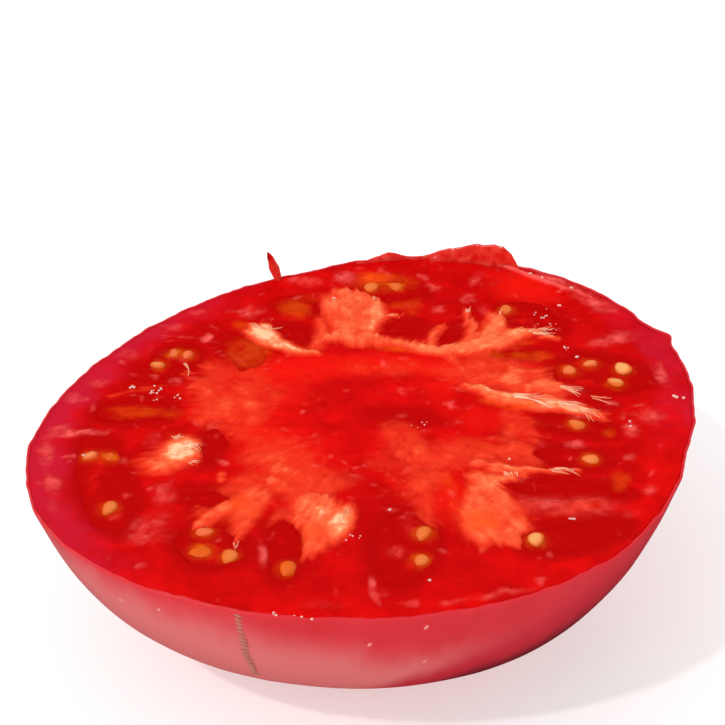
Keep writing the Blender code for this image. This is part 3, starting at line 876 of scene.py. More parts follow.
# %% Skin material
SKIN_TISSUES = (
    # Painted sheen: paler pink low down and on the sunny left side of the skin.
    ("painted_sheen", "#E67272", 0.0, 1.0),
    # Painted shade: dark crimson where the skin faces away from the sun, low on the right.
    ("painted_shade", "#CE1C32", 0.0, 0.5),
    ("painted_shade", "#7C0A1A", 0.5, 1.0),
    ("edge", "#DC2430", 0.1, 1.6),
    ("blossom", "#B4502A", 0.25, 0.9),
    ("mark", "#F0948E", 0.3, 0.7),
    ("cork", "#6E4A2C", 0.35, 0.75),
)


def tomato_skin():
    """Waxy skin over red flesh: deep red, soft gloss, painted sheen and shade, and pale pores."""
    material, tree, output, place = start_material("waxy_tomato_skin")
    tone = add_node(
        tree, "TexNoise", {"Vector": place, "Scale": per_metre(14), "Detail": 5.0, "Roughness": 0.6}
    ).outputs["Fac"]
    red = mottled(tree, tone, 0.3, 0.7, "#D8202C", "#E4303C")
    colour = layer_tissues(tree, place, red, SKIN_TISSUES, 0.15)
    ripple = add_node(
        tree, "TexNoise", {"Vector": place, "Scale": per_metre(0.6), "Detail": 2.0}
    ).outputs["Fac"]
    bump = add_node(
        tree, "Bump", {"Height": ripple, "Strength": 0.15, "Distance": 0.05 * MM}
    ).outputs[0]
    shader = add_node(
        tree,
        "BsdfPrincipled",
        {
            "Base Color": colour,
            "Roughness": 0.4,
            "IOR": 1.36,
            "Subsurface Weight": 0.3,
            "Subsurface Radius": (1.0, 0.25, 0.15),
            "Subsurface Scale": 1.0 * MM,
            "Coat Weight": 0.1,
            "Coat Roughness": 0.2,
            "Normal": bump,
        },
    )
    tree.links.new(shader.outputs[0], output.inputs["Surface"])
    return material


SKIN = tomato_skin()
print(SKIN.name, len(SKIN.node_tree.nodes), "nodes")

# %% Pores of the skin
# A row is a bearing in degrees, a depth under the cut face, and a size.
SKIN_MARKS = (
    (-133, 6.5, 0.45), (-125.5, 4.6, 0.34), (-108.5, 9, 0.34), (-90, 6.6, 0.38), (-80, 13, 0.45),
    (-80.5, 3, 0.4), (-58, 7, 0.3), (-150, 9, 0.35), (-170, 6, 0.4), (-36, 5, 0.3), (10, 8, 0.4),
    (40, 5, 0.35), (75, 9, 0.4), (128, 7, 0.35), (150, 12, 0.4),
)
print(len(SKIN_MARKS), "pores")

# %% Profile of the skin
SKIN_COLUMNS = 540
SKIN_ROWS = 64


def skin_profile():
    """(share of the rim, height, share of the skin's thickness inwards) up outside, and down inside."""
    bowl = [(SCAR_RADIUS / 56 * s, SCAR_DEPTH * (1 - s * s), 0) for s in (0.2, 0.4, 0.6, 0.8, 0.95)]
    ease = np.sin(np.pi / 2 * np.linspace(1, 0, SKIN_ROWS))
    outside = [(float(dome_share(FACE_Z * e)), FACE_Z * (1 - e), 0) for e in ease]
    edge = [(1, FACE_Z + 0.10, 0.15), (1, FACE_Z + 0.14, 0.5), (1, FACE_Z + 0.10, 0.85)]
    inside = [(float(dome_share(FACE_Z * e)), FACE_Z * (1 - e), 1) for e in ease[::-4]]
    floor = [(share, max(height, 0.3) + SKIN_THICKNESS, 1) for share, height, _ in bowl[::-1]]
    return np.array(bowl + outside + edge + inside + floor)


print(len(skin_profile()), "points in the profile")

# %% Skin of the half
# The skin's colour holds a painted sheen, paler low down and on the sunny side, and a painted shade,
# darkest where it faces away from the light.
SHADE_BEARING = -42
SHADE_LENGTH = 20


def add_skin():
    """The profile carried round the fruit: radius = share of the rim, less the way into the skin."""
    share, height, inwards = (column[:, None] for column in skin_profile().T)
    bearing = np.linspace(0, 2 * np.pi, SKIN_COLUMNS, endpoint=False)[None, :]
    ragged = rise(FACE_Z - 5, FACE_Z, height)
    radius = share * rim(bearing, ragged) - inwards * SKIN_THICKNESS
    height = height + 0.4 * SKIN_THICKNESS * inwards * (share < 0.9) + 0 * bearing
    near_edge = rise(1.2, 0, FACE_Z - height)
    height = height + near_edge * 0.12 * clouds(bearing * 50, 0 * radius, 1.2, 71)
    swell = 0.35 * clouds(bearing * 6 + 0 * height, height / 12, 2.2, 73) * rise(0.3, 0.8, share)
    radius = np.maximum(radius + swell * rise(FACE_Z, FACE_Z - 9, height), 0.05)
    x, y = radius * np.cos(bearing), radius * np.sin(bearing)
    points, faces = closed_rings(np.stack([x, y, height], axis=-1))
    x, y, z = points.T
    out, turn = np.hypot(x, y), np.arctan2(y, x)
    star = clouds(turn * 9, out / 14, 1.2, 77)
    degrees = np.degrees(turn)
    depth = FACE_Z - z
    behind = (SHADE_BEARING - degrees + 180) % 360 - 180
    spread = np.where(behind > 0, 0.009, 0.02)
    sunny = (0.5 + 0.5 * np.cos(turn + 2.6)) ** 6
    left = 0.7 + 0.3 * np.cos(turn + 2.3)
    uneven = 2.4 * clouds(x + 300, y + z, 7, 79) + 1.2 * clouds(turn * 50, depth / 5, 1.6, 78)
    shaded = depth + uneven - spread * behind ** 2
    marks = np.zeros_like(x)
    for bearing, mark_depth, size in SKIN_MARKS:
        sideways = rim(math.radians(bearing)) * np.radians(degrees - bearing)
        marks = np.maximum(marks, rise(1.5 * size, 0.5 * size, np.hypot(sideways, depth - mark_depth)))
    fields = {
        # painted sheen: paler low down and on the sunny left side
        "painted_sheen": rise(3, 21, depth + 10 * sunny + uneven) * rise(44, 26, depth) * left,
        # painted shade: dark crimson low on the right, where the skin faces away from the sun
        "painted_shade": np.clip(shaded / SHADE_LENGTH, 0, 0.9) * rise(37, 24, depth),
        "edge": rise(1.6, 0.1, depth),
        "blossom": rise(17, 6, out + 5 * star) * (z < 8),
        "mark": marks,
        "cork": rise(SCAR_RADIUS * 0.95, SCAR_RADIUS * 0.5, out + 1.6 * star) * (z < 4),
    }
    return add_piece("tomato_skin", points, faces, SKIN, [FRUIT], fields)


add_skin()

# %% [markdown]
# ## Seed jelly
#
# Each locule's jelly is a soft pillow with a wet, slightly wrinkled top. It is a closed form of rings:
# the top runs out from its middle to the pocket's wall, and the underside returns as a shallow bowl. It
# reaches a millimetre into the wall, where the two tissues have grown together, so no gap shows. The
# packed jelly could be smoothed instead, but its few corners are too coarse for wrinkles.

# %% Jelly material
JELLY_TISSUES = (
    ("bright", "#D40804", 0.3, 1.0),
    ("olive", "#D23A04", 0.15, 0.95),
    ("amber", "#F47C14", 0.25, 1.0),
    ("pink", "#EE4A42", 0.12, 1.1),
)


def seed_jelly():
    """Clear jelly over dark red flesh: deep colour, light from inside, and a mirror-wet surface."""
    material, tree, output, place = start_material("wet_seed_jelly")
    colour = layer_tissues(tree, place, linear("#BC0000"), JELLY_TISSUES, 1.0)
    wrinkles = add_node(
        tree, "TexNoise", {"Vector": place, "Scale": per_metre(1.5), "Detail": 3.0, "Distortion": 0.6}
    ).outputs["Fac"]
    bump = add_node(
        tree, "Bump", {"Height": wrinkles, "Strength": 0.6, "Distance": 0.4 * MM}
    ).outputs[0]
    shader = add_node(
        tree,
        "BsdfPrincipled",
        {
            "Base Color": colour,
            "Roughness": 0.25,
            "IOR": 1.36,
            "Specular IOR Level": 0.2,
            "Subsurface Weight": 0.6,
            "Subsurface Radius": (1.0, 0.3, 0.15),
            "Subsurface Scale": 1.5 * MM,
            "Coat Weight": 0.7,
            "Coat Roughness": 0.05,
            "Coat IOR": 1.33,
            "Normal": bump,
            "Coat Normal": bump,
        },
    )
    tree.links.new(shader.outputs[0], output.inputs["Surface"])
    return material


JELLY = seed_jelly()
print(JELLY.name, len(JELLY.node_tree.nodes), "nodes")

# %% [markdown]
# Jelly clings to each seed, so its top is drawn up there and glows orange with the light that the pale
# seed sends back. The places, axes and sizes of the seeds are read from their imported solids. Typing
# them in again would be quicker, but then a moved seed would leave its glow behind.

# %% Where the seeds lie


def seed_frame(name):
    """A seed's middle, its three axes as rows, longest first, and its sizes along them."""
    points = np.unique(np.round(node_points(name), 4), axis=0)
    middle = (points.max(axis=0) + points.min(axis=0)) / 2
    axes = np.linalg.svd(points - points.mean(axis=0), full_matrices=False)[2]
    along = (points - middle) @ axes.T
    blunt = np.ptp(along[along[:, 0] < 0, 1])
    if blunt < np.ptp(along[along[:, 0] > 0, 1]):
        axes[0] *= -1
    axes[2] = np.cross(axes[0], axes[1])
    if axes[2][2] < 0:
        axes[1:] *= -1
    return middle, axes, np.ptp(along, axis=0)


seed_frames = {name: seed_frame(name) for name in SEEDS}
seed_places = np.array([middle for middle, _, _ in seed_frames.values()])
seed_lengths = [sizes[0] for _, _, sizes in seed_frames.values()]
print("seeds are", round(min(seed_lengths), 1), "to", round(max(seed_lengths), 1), "mm long")

# %% Height of the jelly
JELLY_SINK = 0.15
DRAWN_UP = 0.22
DRAWN_REACH = 2.2


def jelly_height(x, y):
    """The jelly's top over the cut plane: wrinkled, and drawn up round each seed."""
    height = -JELLY_SINK + 0.14 * clouds(x, y, 2.6, 83) + 0.08 * clouds(x, y, 0.9, 87)
    for seed_x, seed_y, _ in seed_places:
        height += DRAWN_UP * np.exp(-((x - seed_x) ** 2 + (y - seed_y) ** 2) / DRAWN_REACH ** 2)
    return height - 0.7 * rise(-0.3, -2.0, pocket_depth(x, y))


print("jelly stands", round(jelly_height(*seed_places.T[:2]).mean(), 2), "mm over the cut at the seeds")

# %% Amber jelly and jelly round the seeds
AMBER_JELLY = ((0.2, 44.6, 6, 4.6, 0, 0.95), (5.6, 43.8, 4, 3.4, 0, 0.8), (-14, 34, 4, 3, 30, 0.3))


def seed_glow(x, y, reach):
    """Orange jelly round the seeds."""
    glow = np.zeros_like(x)
    for seed_x, seed_y, _ in seed_places:
        glow = np.maximum(glow, np.exp(-((x - seed_x) ** 2 + (y - seed_y) ** 2) / reach ** 2))
    return glow


beside = seed_places[0, 0] + np.array([0.0, 2.0])
print("glow at a seed and 2 mm beside it:", seed_glow(beside, np.full(2, seed_places[0, 1]), 2).round(2))

# %% Jelly in its pockets
JELLY_COLUMNS = 72
JELLY_RINGS = 34
BOWL_RINGS = 7
JELLY_OVER = 1.9
JELLY_DEPTH = 3.4


def outline_radius(corners, middle, turn):
    """How far a convex outline is from its middle in each direction: the nearest edge line met."""
    ahead = np.roll(corners, -1, axis=0)
    out = np.stack([ahead[:, 1] - corners[:, 1], corners[:, 0] - ahead[:, 0]], axis=-1)
    out = out[np.hypot(*out.T) > 0.05]
    from_middle = corners[np.hypot(*(ahead - corners).T) > 0.05] - middle
    reach = (from_middle * out).sum(axis=1)
    facing = np.cos(turn)[:, None] * out[:, 0] + np.sin(turn)[:, None] * out[:, 1]
    return np.where(facing > 1e-9, reach / np.maximum(facing, 1e-9), 1e9).min(axis=1)


def add_jelly(name):
    """Rings of shares of the outline's radius: out over the top, and back as an elliptical bowl."""
    corners = outlines[name]
    middle = corners.mean(axis=0)
    turn = np.linspace(0, 2 * np.pi, JELLY_COLUMNS, endpoint=False)
    radius = outline_radius(corners, middle, turn) + JELLY_OVER
    shares = np.linspace(0.03, 1, JELLY_RINGS)
    x = middle[0] + shares[:, None] * radius * np.cos(turn)
    y = middle[1] + shares[:, None] * radius * np.sin(turn)
    top = np.stack([x, y, FACE_Z + jelly_height(x, y)], axis=-1)
    low = np.linspace(0.96, 0.1, BOWL_RINGS)
    bowl = top[[round(share * (JELLY_RINGS - 1)) for share in low]].copy()
    bowl[..., 2] = FACE_Z - JELLY_SINK - JELLY_DEPTH * np.sqrt(1 - low[:, None] ** 2)
    points, faces = closed_rings(np.concatenate([top, bowl])[::-1])
    x, y = points[:, 0], points[:, 1]
    fields = {
        "olive": np.maximum(olive_field(x, y), 0.85 * seed_glow(x, y, 2.4)),
        "amber": np.maximum(
            ovals(*wander(x, y, 0.9, 2, 85), AMBER_JELLY, 0.8) * rise(0, 1.6, pocket_depth(x, y)),
            seed_glow(x, y, 1.9) * (0.62 + 0.5 * clouds(x, y, 1.6, 82)),
        ),
        "bright": (0.4 + 0.9 * clouds(x, y, 3.2, 89)) * rise(0, 3, pocket_depth(x, y)),
        "pink": pink_field(x, y),
    }
    number = name.split("_")[-1]
    return add_piece(f"jelly_{number}", points, faces, JELLY, [name], fields)


for name in JELLIES:
    add_jelly(name)


# %% [markdown]
# ## Seeds
#
# A tomato seed is a flat drop, 3 to 4 mm long, cream to golden, with short silky hairs that make it look
# soft. Each one keeps the place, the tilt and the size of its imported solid, and is remade as a smooth
# form with a thin rim and a shallow dimple. One seed could be copied to every place, but real seeds
# differ in size, in colour and in how deep they lie, so each is made from its own numbers.

# %% Seed material


def seed_coat():
    """Silky seed coat: cream where it lies bare, golden where jelly covers it."""
    material, tree, output, place = start_material("silky_seed_coat")
    golden = add_node(tree, "Attribute", attribute_name="golden").outputs["Fac"]
    rosy = add_node(tree, "Attribute", attribute_name="rosy").outputs["Fac"]
    colour = add_node(
        tree, "Mix", {0: golden, 6: linear("#FFBE70"), 7: linear("#F06600")}, data_type="RGBA"
    ).outputs[2]
    colour = add_node(
        tree, "Mix", {0: rosy, 6: colour, 7: linear("#FF7048")}, data_type="RGBA"
    ).outputs[2]
    hair = add_node(
        tree, "TexNoise", {"Vector": place, "Scale": per_metre(0.35), "Detail": 3.0}
    ).outputs["Fac"]
    dark = add_node(tree, "Mix", {0: 0.5, 6: colour, 7: linear("#C83408")}, data_type="RGBA").outputs[2]
    colour = add_node(tree, "Mix", {0: hair, 6: colour, 7: dark}, data_type="RGBA").outputs[2]
    bump = add_node(tree, "Bump", {"Height": hair, "Strength": 0.5, "Distance": 0.08 * MM}).outputs[0]
    shader = add_node(
        tree,
        "BsdfPrincipled",
        {
            "Base Color": colour,
            "Roughness": 0.4,
            "IOR": 1.35,
            "Subsurface Weight": 0.3,
            "Subsurface Radius": (1.0, 0.6, 0.3),
            "Subsurface Scale": 0.5 * MM,
            "Coat Weight": 0.3,
            "Coat Roughness": 0.08,
            "Normal": bump,
        },
    )
    tree.links.new(shader.outputs[0], output.inputs["Surface"])
    return material


SEED_COAT = seed_coat()
print(SEED_COAT.name, len(SEED_COAT.node_tree.nodes), "nodes")

# %% Looks of the seeds
# A row is how golden a seed is, how rosy, and how far its top stands out of the jelly.
SEED_LOOKS = (
    (0.55, 0.5, 0.40), (0.30, 0.4, 0.45), (0.00, 0.0, 0.75), (0.15, 0.0, 0.65), (0.75, 0.1, 0.35),
    (0.70, 0.0, 0.40), (0.80, 0.0, 0.35), (0.30, 0.2, 0.50), (0.60, 0.6, 0.30), (0.65, 0.6, 0.25),
    (0.68, 0.0, 0.45), (0.20, 0.4, 0.40), (1.00, 0.2, 0.12), (1.00, 0.0, 0.10), (0.70, 0.0, 0.40),
    (0.50, 0.7, 0.30), (0.95, 0.0, 0.40), (0.78, 0.0, 0.35), (0.72, 0.1, 0.30), (0.10, 0.0, 0.55),
    (0.60, 0.1, 0.40), (0.66, 0.1, 0.40),
)
print(len(SEED_LOOKS), "looks for", len(SEEDS), "seeds")

# %% Seeds in the jelly
SEED_RINGS = 18
SEED_SIDES = 28
SEED_TAPER = 0.3
CLEAR_OF_JELLY = 0.08


def seed_form(middle, axes, sizes, lift, seed):
    """Rings from the narrow end to the blunt one: half width sin(u) (1 - taper cos(u)), flattened."""
    u = np.linspace(0.12, np.pi - 0.12, SEED_RINGS)[:, None]
    v = np.linspace(0, 2 * np.pi, SEED_SIDES, endpoint=False)[None, :]
    along = np.cos(u) + 0 * v
    across = np.sin(u) * (1 - SEED_TAPER * np.cos(u)) * np.cos(v)
    thick = np.sin(u) ** 0.8 * np.sin(v) * (1 - 0.25 * np.exp(-(across ** 2 + along ** 2) / 0.15))
    rough = 1 + 0.04 * clouds(along * 3, across * 3 + 4 * np.sin(v), 1, seed)
    local = np.stack([along * sizes[0], across * sizes[1], thick * sizes[2]], axis=-1) / 2
    return closed_rings((local * rough[..., None]) @ axes + middle + [0, 0, lift])


def add_seeds():
    """Each seed lifted until its top stands out of the jelly as far as its look says."""
    pick = np.random.default_rng(9)
    for number, (name, (golden, rosy, proud)) in enumerate(zip(SEEDS, SEED_LOOKS), 1):
        middle, axes, sizes = seed_frames[name]
        form = middle, axes, sizes * pick.uniform(0.9, 1.0)
        top = seed_form(*form, 0, 900 + number)[0][:, 2].max()
        lift = FACE_Z + float(jelly_height(*middle[:2, None])[0]) + proud + CLEAR_OF_JELLY - top
        points, faces = seed_form(*form, lift, 900 + number)
        from_middle = (points - middle) @ axes.T
        out = np.hypot(from_middle[:, 0] / sizes[0], from_middle[:, 1] / sizes[1]) * 2
        fields = {
            "golden": golden + (1 - golden) * 0.9 * rise(0.5, 1.0, out),
            "rosy": np.full(len(points), rosy),
        }
        add_piece(f"tomato_seed_{number:02d}", points, faces, SEED_COAT, [name], fields)


add_seeds()

# %% [markdown]
# ## Fibres, torn skin and juice
#
# Where the knife dragged on the arms, their fibres came loose and lie frayed over the jelly. Each fibre
# is a thin tapering tube of a few sections that follows the face and droops at its tip. Hair curves
# would be quicker to comb, but only meshes are exported.

# %% Fibre material


def damp_fibre():
    """Loose placental fibres: creamy pink, soft and only half wet."""
    material, tree, output, place = start_material("damp_placental_fibre")
    tint = add_node(
        tree, "TexNoise", {"Vector": place, "Scale": per_metre(3), "Detail": 2.0}
    ).outputs["Fac"]
    colour = mottled(tree, tint, 0.35, 0.65, "#FF8458", "#FFCCA8")
    shader = add_node(
        tree,
        "BsdfPrincipled",
        {
            "Base Color": colour,
            "Roughness": 0.35,
            "Coat Weight": 0.4,
            "Coat Roughness": 0.12,
        },
    )
    tree.links.new(shader.outputs[0], output.inputs["Surface"])
    return material


FIBRE = damp_fibre()
print(FIBRE.name, len(FIBRE.node_tree.nodes), "nodes")

# %% Form of a fibre
FIBRE_SECTIONS = 9
FIBRE_SIDES = 6


def top_height(x, y):
    """The height of what shows at a point of the face: flesh or jelly, whichever is higher."""
    jelly = np.where(locule_depth(x, y) > -0.5, jelly_height(x, y), -9)
    return FACE_Z + np.maximum(flesh_height(x, y), jelly)


def tube(path, widths):
    """A tapering tube along a path of points: a circle square to the path at each of them."""
    ahead = np.gradient(path, axis=0)
    ahead /= np.linalg.norm(ahead, axis=1)[:, None]
    side = np.cross(ahead, [0, 0, 1.0])
    side /= np.maximum(np.linalg.norm(side, axis=1), 1e-6)[:, None]
    up = np.cross(side, ahead)
    turn = np.linspace(0, 2 * np.pi, FIBRE_SIDES, endpoint=False)[None, :, None]
    ring = np.cos(turn) * side[:, None] + np.sin(turn) * up[:, None]
    return closed_rings(path[:, None] + ring * np.asarray(widths)[:, None, None] / 2)


print("faces of a fibre:", len(tube(np.eye(3) * 5, np.ones(3))[1]))

# %% Fans of fibres
# A row is x, y, direction, spread, length, count and width.
FIBRE_FANS = (
    (-33, -8.2, 90, 110, 1.4, 7, 0.5), (-30.2, -10.6, 0, 60, 1.9, 5, 0.5),
    (-30.5, -14.5, -20, 50, 1.4, 4, 0.36), (-21.4, 27.0, 105, 60, 2.0, 5, 0.4),
    (-18.4, 26.5, 60, 50, 1.8, 4, 0.32), (37.5, 0.2, -25, 18, 3.8, 9, 0.34),
    (34, 2.5, -16, 18, 4.6, 9, 0.32), (26, 4.6, -16, 10, 7.0, 8, 0.36),
    (35, 7.6, -20, 34, 4.2, 9, 0.32), (31, 26, 0, 40, 4.2, 11, 0.32), (25.4, 32, 75, 40, 2.0, 3, 0.4),
    (19.2, 33, 95, 30, 1.8, 3, 0.4), (31, -17.0, 0, 14, 4.2, 7, 0.32),
    (23, -18.6, 110, 70, 0.8, 4, 0.28), (24.4, -18.4, -60, 60, 0.8, 3, 0.26),
    (1.6, 37.4, 90, 50, 1.1, 4, 0.34), (-6.4, 37, 95, 50, 1.0, 4, 0.32),
    (-3.8, -29, 50, 60, 1.3, 4, 0.36), (-34.2, 15.4, -75, 30, 4.0, 2, 0.4),
    (-21.5, -36, -90, 30, 1.2, 3, 0.3), (40, 4.6, -20, 30, 3.4, 3, 0.34),
)


def add_fibres():
    """Fibres that start close together, bend a little, lie on the face and thin out to their tips."""
    pick = np.random.default_rng(17)
    along = np.linspace(0, 1, FIBRE_SECTIONS)
    paths, widths = [], []
    for x, y, direction, spread, length, count, width in FIBRE_FANS:
        for _ in range(count):
            turn = math.radians(direction + pick.uniform(-0.5, 0.5) * spread)
            reach = length * pick.uniform(0.6, 1.1) * along
            bend = turn + pick.uniform(-0.5, 0.5) * along
            start_x, start_y = x + pick.uniform(-0.6, 0.6), y + pick.uniform(-0.6, 0.6)
            paths.append([start_x + reach * np.cos(bend), start_y + reach * np.sin(bend), reach])
            widths.append(width * pick.uniform(0.7, 1.2) * (1 - 0.75 * along))
    x, y, reach = np.array(paths).transpose(1, 0, 2)
    height = top_height(x, y) + 0.04 + 0.10 * np.sin(np.pi * along)
    height = np.maximum(height, np.maximum.accumulate(height, axis=1) - 0.35 * reach)
    routes = np.stack([x, y, height], axis=-1)
    points, faces = joined([tube(route, width) for route, width in zip(routes, widths)])
    return add_piece("placental_fibres", points, faces, FIBRE, [FRUIT])


add_fibres()

# %% [markdown]
# At the back of the rim a flap of skin was torn up with a little flesh on it, and beside it a narrow
# curl of skin stands on end. Both are thin sheets, worked out as a height over a stretch of the rim, and
# Solidify gives them their thickness. Cloth could crumple them, but the shape of a tear is easier drawn.

# %% Torn skin material


def torn_skin():
    """Skin torn off with wet flesh on it: thin, lit from behind, and glossy with juice."""
    material, tree, output, place = start_material("torn_wet_tomato_skin")
    tone = add_node(
        tree, "TexNoise", {"Vector": place, "Scale": per_metre(2), "Detail": 3.0}
    ).outputs["Fac"]
    colour = mottled(tree, tone, 0.35, 0.7, "#DC0C0C", "#F2503E")
    bump = add_node(tree, "Bump", {"Height": tone, "Strength": 0.5, "Distance": 0.3 * MM}).outputs[0]
    shader = add_node(
        tree,
        "BsdfPrincipled",
        {
            "Base Color": colour,
            "Roughness": 0.28,
            "Subsurface Weight": 0.6,
            "Subsurface Radius": (1.0, 0.3, 0.2),
            "Subsurface Scale": 1.2 * MM,
            "Coat Weight": 0.7,
            "Coat Roughness": 0.07,
            "Normal": bump,
        },
    )
    tree.links.new(shader.outputs[0], output.inputs["Surface"])
    return material


TORN = torn_skin()
print(TORN.name, len(TORN.node_tree.nodes), "nodes")

# %% Torn flap
FLAP_BEARINGS = (58.5, 60, 62, 66, 70, 73, 78, 81, 85.5, 90, 92.5)
FLAP_TOP = (0, 2.6, 4.3, 4.0, 3.2, 2.4, 0.5, 0.3, 1.7, 0.5, 0)
FLAP_THICKNESS = 0.5


def add_sheet(name, points, thickness):
    """A sheet from a grid of points, thickened both ways from its middle."""
    rows, columns, _ = points.shape
    faces = grid_faces(rows, columns).tolist()
    made = add_piece(name, points.reshape(-1, 3), faces, TORN, [FRUIT])
    solidify = made.modifiers.new("thickness", "SOLIDIFY")
    solidify.thickness = thickness * MM
    solidify.offset = 0
    return made


def add_flap():
    """A low hump, then a rise to a ragged end: the torn edge's height against its bearing."""
    along, up = np.meshgrid(np.linspace(0, 1, 130), np.linspace(0, 1, 14), indexing="xy")
    degrees = FLAP_BEARINGS[0] + (FLAP_BEARINGS[-1] - FLAP_BEARINGS[0]) * along
    bearing = np.radians(degrees)
    top = np.interp(degrees, FLAP_BEARINGS, FLAP_TOP)
    top = np.maximum(top + 0.25 * clouds(along * 40, 0 * along, 2, 91) * rise(0.1, 0.6, top), 0)
    height = FACE_Z - 1.0 + up * (1.0 + top)
    inset = 1.4 - 0.7 * up ** 2 + 0.3 * clouds(along * 30, up * 4, 2, 93)
    return add_sheet("torn_flap", fruit_point(1 - inset / rim(bearing), bearing, height), FLAP_THICKNESS)


add_flap()

# %% Curl of skin
CURL_BEARING = 111.5
CURL_HEIGHT = 8.0
CURL_LEAN = 2.3
CURL_THICKNESS = 0.35


def add_curl():
    """A strip that swells and then narrows to a split tip, leaning along the rim as it rises."""
    across, up = np.meshgrid(np.linspace(-1, 1, 9), np.linspace(0, 1, 40), indexing="xy")
    bearing = math.radians(CURL_BEARING)
    foot = fruit_point(1 - 1.2 / rim(bearing), bearing, FACE_Z - 0.8)
    along_rim = np.array([-math.sin(bearing), math.cos(bearing), 0])
    outwards = np.array([math.cos(bearing), math.sin(bearing), 0])
    half = np.interp(up, (0, 0.2, 0.45, 0.7, 0.85, 1), (0.35, 0.75, 0.95, 0.6, 0.5, 0.12))
    sideways = across * half + CURL_LEAN * up ** 1.3
    split = 1.2 * rise(0.55, 0, abs(across - 0.2)) * rise(0.7, 1, up)
    fold = 0.5 * across ** 2 * np.sin(np.pi * up) + 0.35 * np.sin(up * 5)
    points = foot + sideways[..., None] * along_rim + fold[..., None] * outwards
    points[..., 2] += CURL_HEIGHT * up - split
    return add_sheet("skin_curl", points, CURL_THICKNESS)


add_curl()

# %% [markdown]
# Juice stands in beads on the torn edges and where the jelly is wrinkled. Each bead is a squashed
# sphere, and random places are drawn round each spot from a fixed seed. Drops this small are round,
# because surface tension is stronger than gravity, so nothing has to be simulated. Their pale pink to
# white colour is a painted highlight, standing for the glints of the wet face.

# %% Juice material


def juice():
    """Juice beads: a pale pink to white body that is a painted highlight, under a glossy coat."""
    material, tree, output, place = start_material("juice_bead_painted_highlight")
    tone = add_node(tree, "TexNoise", {"Vector": place, "Scale": per_metre(4)}).outputs["Fac"]
    # painted highlight: a pale pink to white body in place of the glints of wet beads
    colour = add_node(
        tree, "Mix", {0: tone, 6: linear("#FF9A90"), 7: linear("#FFE6DC")}, data_type="RGBA"
    ).outputs[2]
    shader = add_node(
        tree,
        "BsdfPrincipled",
        {
            "Base Color": colour,
            "Roughness": 0.12,
            "IOR": 1.34,
            "Subsurface Weight": 0.4,
            "Subsurface Radius": (1.0, 0.7, 0.6),
            "Subsurface Scale": 0.6 * MM,
            "Coat Weight": 1.0,
            "Coat Roughness": 0.03,
        },
    )
    tree.links.new(shader.outputs[0], output.inputs["Surface"])
    return material


JUICE_PAINTED_HIGHLIGHT = juice()
print(JUICE_PAINTED_HIGHLIGHT.name, len(JUICE_PAINTED_HIGHLIGHT.node_tree.nodes), "nodes")

# %% Beads of juice
# A row is x, y, how far the beads spread, how many there are, and their radius.
BEAD_SQUASH = 0.66
BEAD_SPOTS = (
    (-38.5, 6.4, 2.2, 12, 0.2), (-43, 8, 0.5, 3, 0.26), (-34.3, 4.5, 0.8, 4, 0.24),
    (33.5, 32, 2.2, 10, 0.17), (35.5, 28, 1.4, 4, 0.17), (37.2, 35.4, 0.3, 2, 0.34),
    (37, 21, 1.4, 4, 0.2), (38.6, 17.6, 0.4, 2, 0.28), (55, 4.6, 0.5, 3, 0.38),
    (56.4, 4.2, 0.3, 1, 0.3), (45.8, -4.6, 0.3, 2, 0.36), (46, -3, 0.3, 2, 0.2),
    (33, -30, 0.5, 4, 0.26), (9.3, -45.2, 0.2, 2, 0.32), (3.6, -27.6, 0.4, 2, 0.22),
    (-14.5, -52.6, 0.5, 3, 0.2), (-11.6, -53.2, 0.2, 1, 0.32), (-10.4, -53.6, 0.2, 1, 0.26),
    (-8.8, -54, 0.2, 1, 0.3), (-2.8, -35, 1.6, 6, 0.16), (-48.6, -12.8, 0.5, 4, 0.3),
    (9, -4, 1.6, 5, 0.13), (32.4, 46.7, 0.5, 4, 0.3), (34.6, 45.2, 0.3, 2, 0.3),
    (39.8, 41.3, 0.5, 3, 0.28), (24, -14, 0.2, 1, 0.2),
)


def bead(x, y, z, size):
    """A sphere squashed to two thirds of its height: (sin u cos v, sin u sin v, squash cos u)."""
    u = np.linspace(0.25, np.pi - 0.25, 7)[:, None]
    v = np.linspace(0, 2 * np.pi, 10, endpoint=False)[None, :]
    rings = np.stack(
        [np.sin(u) * np.cos(v), np.sin(u) * np.sin(v), BEAD_SQUASH * np.cos(u) + 0 * v], axis=-1
    )
    return closed_rings((rings * size + [x, y, z])[::-1])


def add_beads():
    """Beads at random places round each spot, sunk to three quarters of their radius."""
    pick = np.random.default_rng(23)
    forms = []
    for x, y, spread, count, size in BEAD_SPOTS:
        places = np.array([x, y]) + pick.normal(0, spread / 2, (count, 2))
        sizes = size * pick.uniform(0.5, 1.2, count)
        heights = top_height(places[:, 0], places[:, 1]) + 0.25 * sizes
        forms += [bead(*place, height, own) for place, height, own in zip(places, heights, sizes)]
    points, faces = joined(forms)
    return add_piece("juice_beads", points, faces, JUICE_PAINTED_HIGHLIGHT, [FRUIT])


add_beads()

# %% [markdown]
# ## The zipper scar
#
# A fine brown seam runs down the skin from the cut: a zipper scar, left where a petal stuck to the young
# fruit. It is a thin corky line with short cross stitches, laid on the dome. It could be painted on
# the skin, but cork stands a little proud, and its own mesh keeps the stitches sharp.

# %% Cork material


def cork():
    """Dry corky scar tissue: brown, rough and without any gloss."""
    material, tree, output, place = start_material("corky_scar_tissue")
    tone = add_node(
        tree, "TexNoise", {"Vector": place, "Scale": per_metre(0.8), "Detail": 3.0}
    ).outputs["Fac"]
    colour = add_node(
        tree, "Mix", {0: tone, 6: linear("#AA6450"), 7: linear("#CC8674")}, data_type="RGBA"
    ).outputs[2]
    shader = add_node(tree, "BsdfPrincipled", {"Base Color": colour, "Roughness": 0.8})
    tree.links.new(shader.outputs[0], output.inputs["Surface"])
    return material


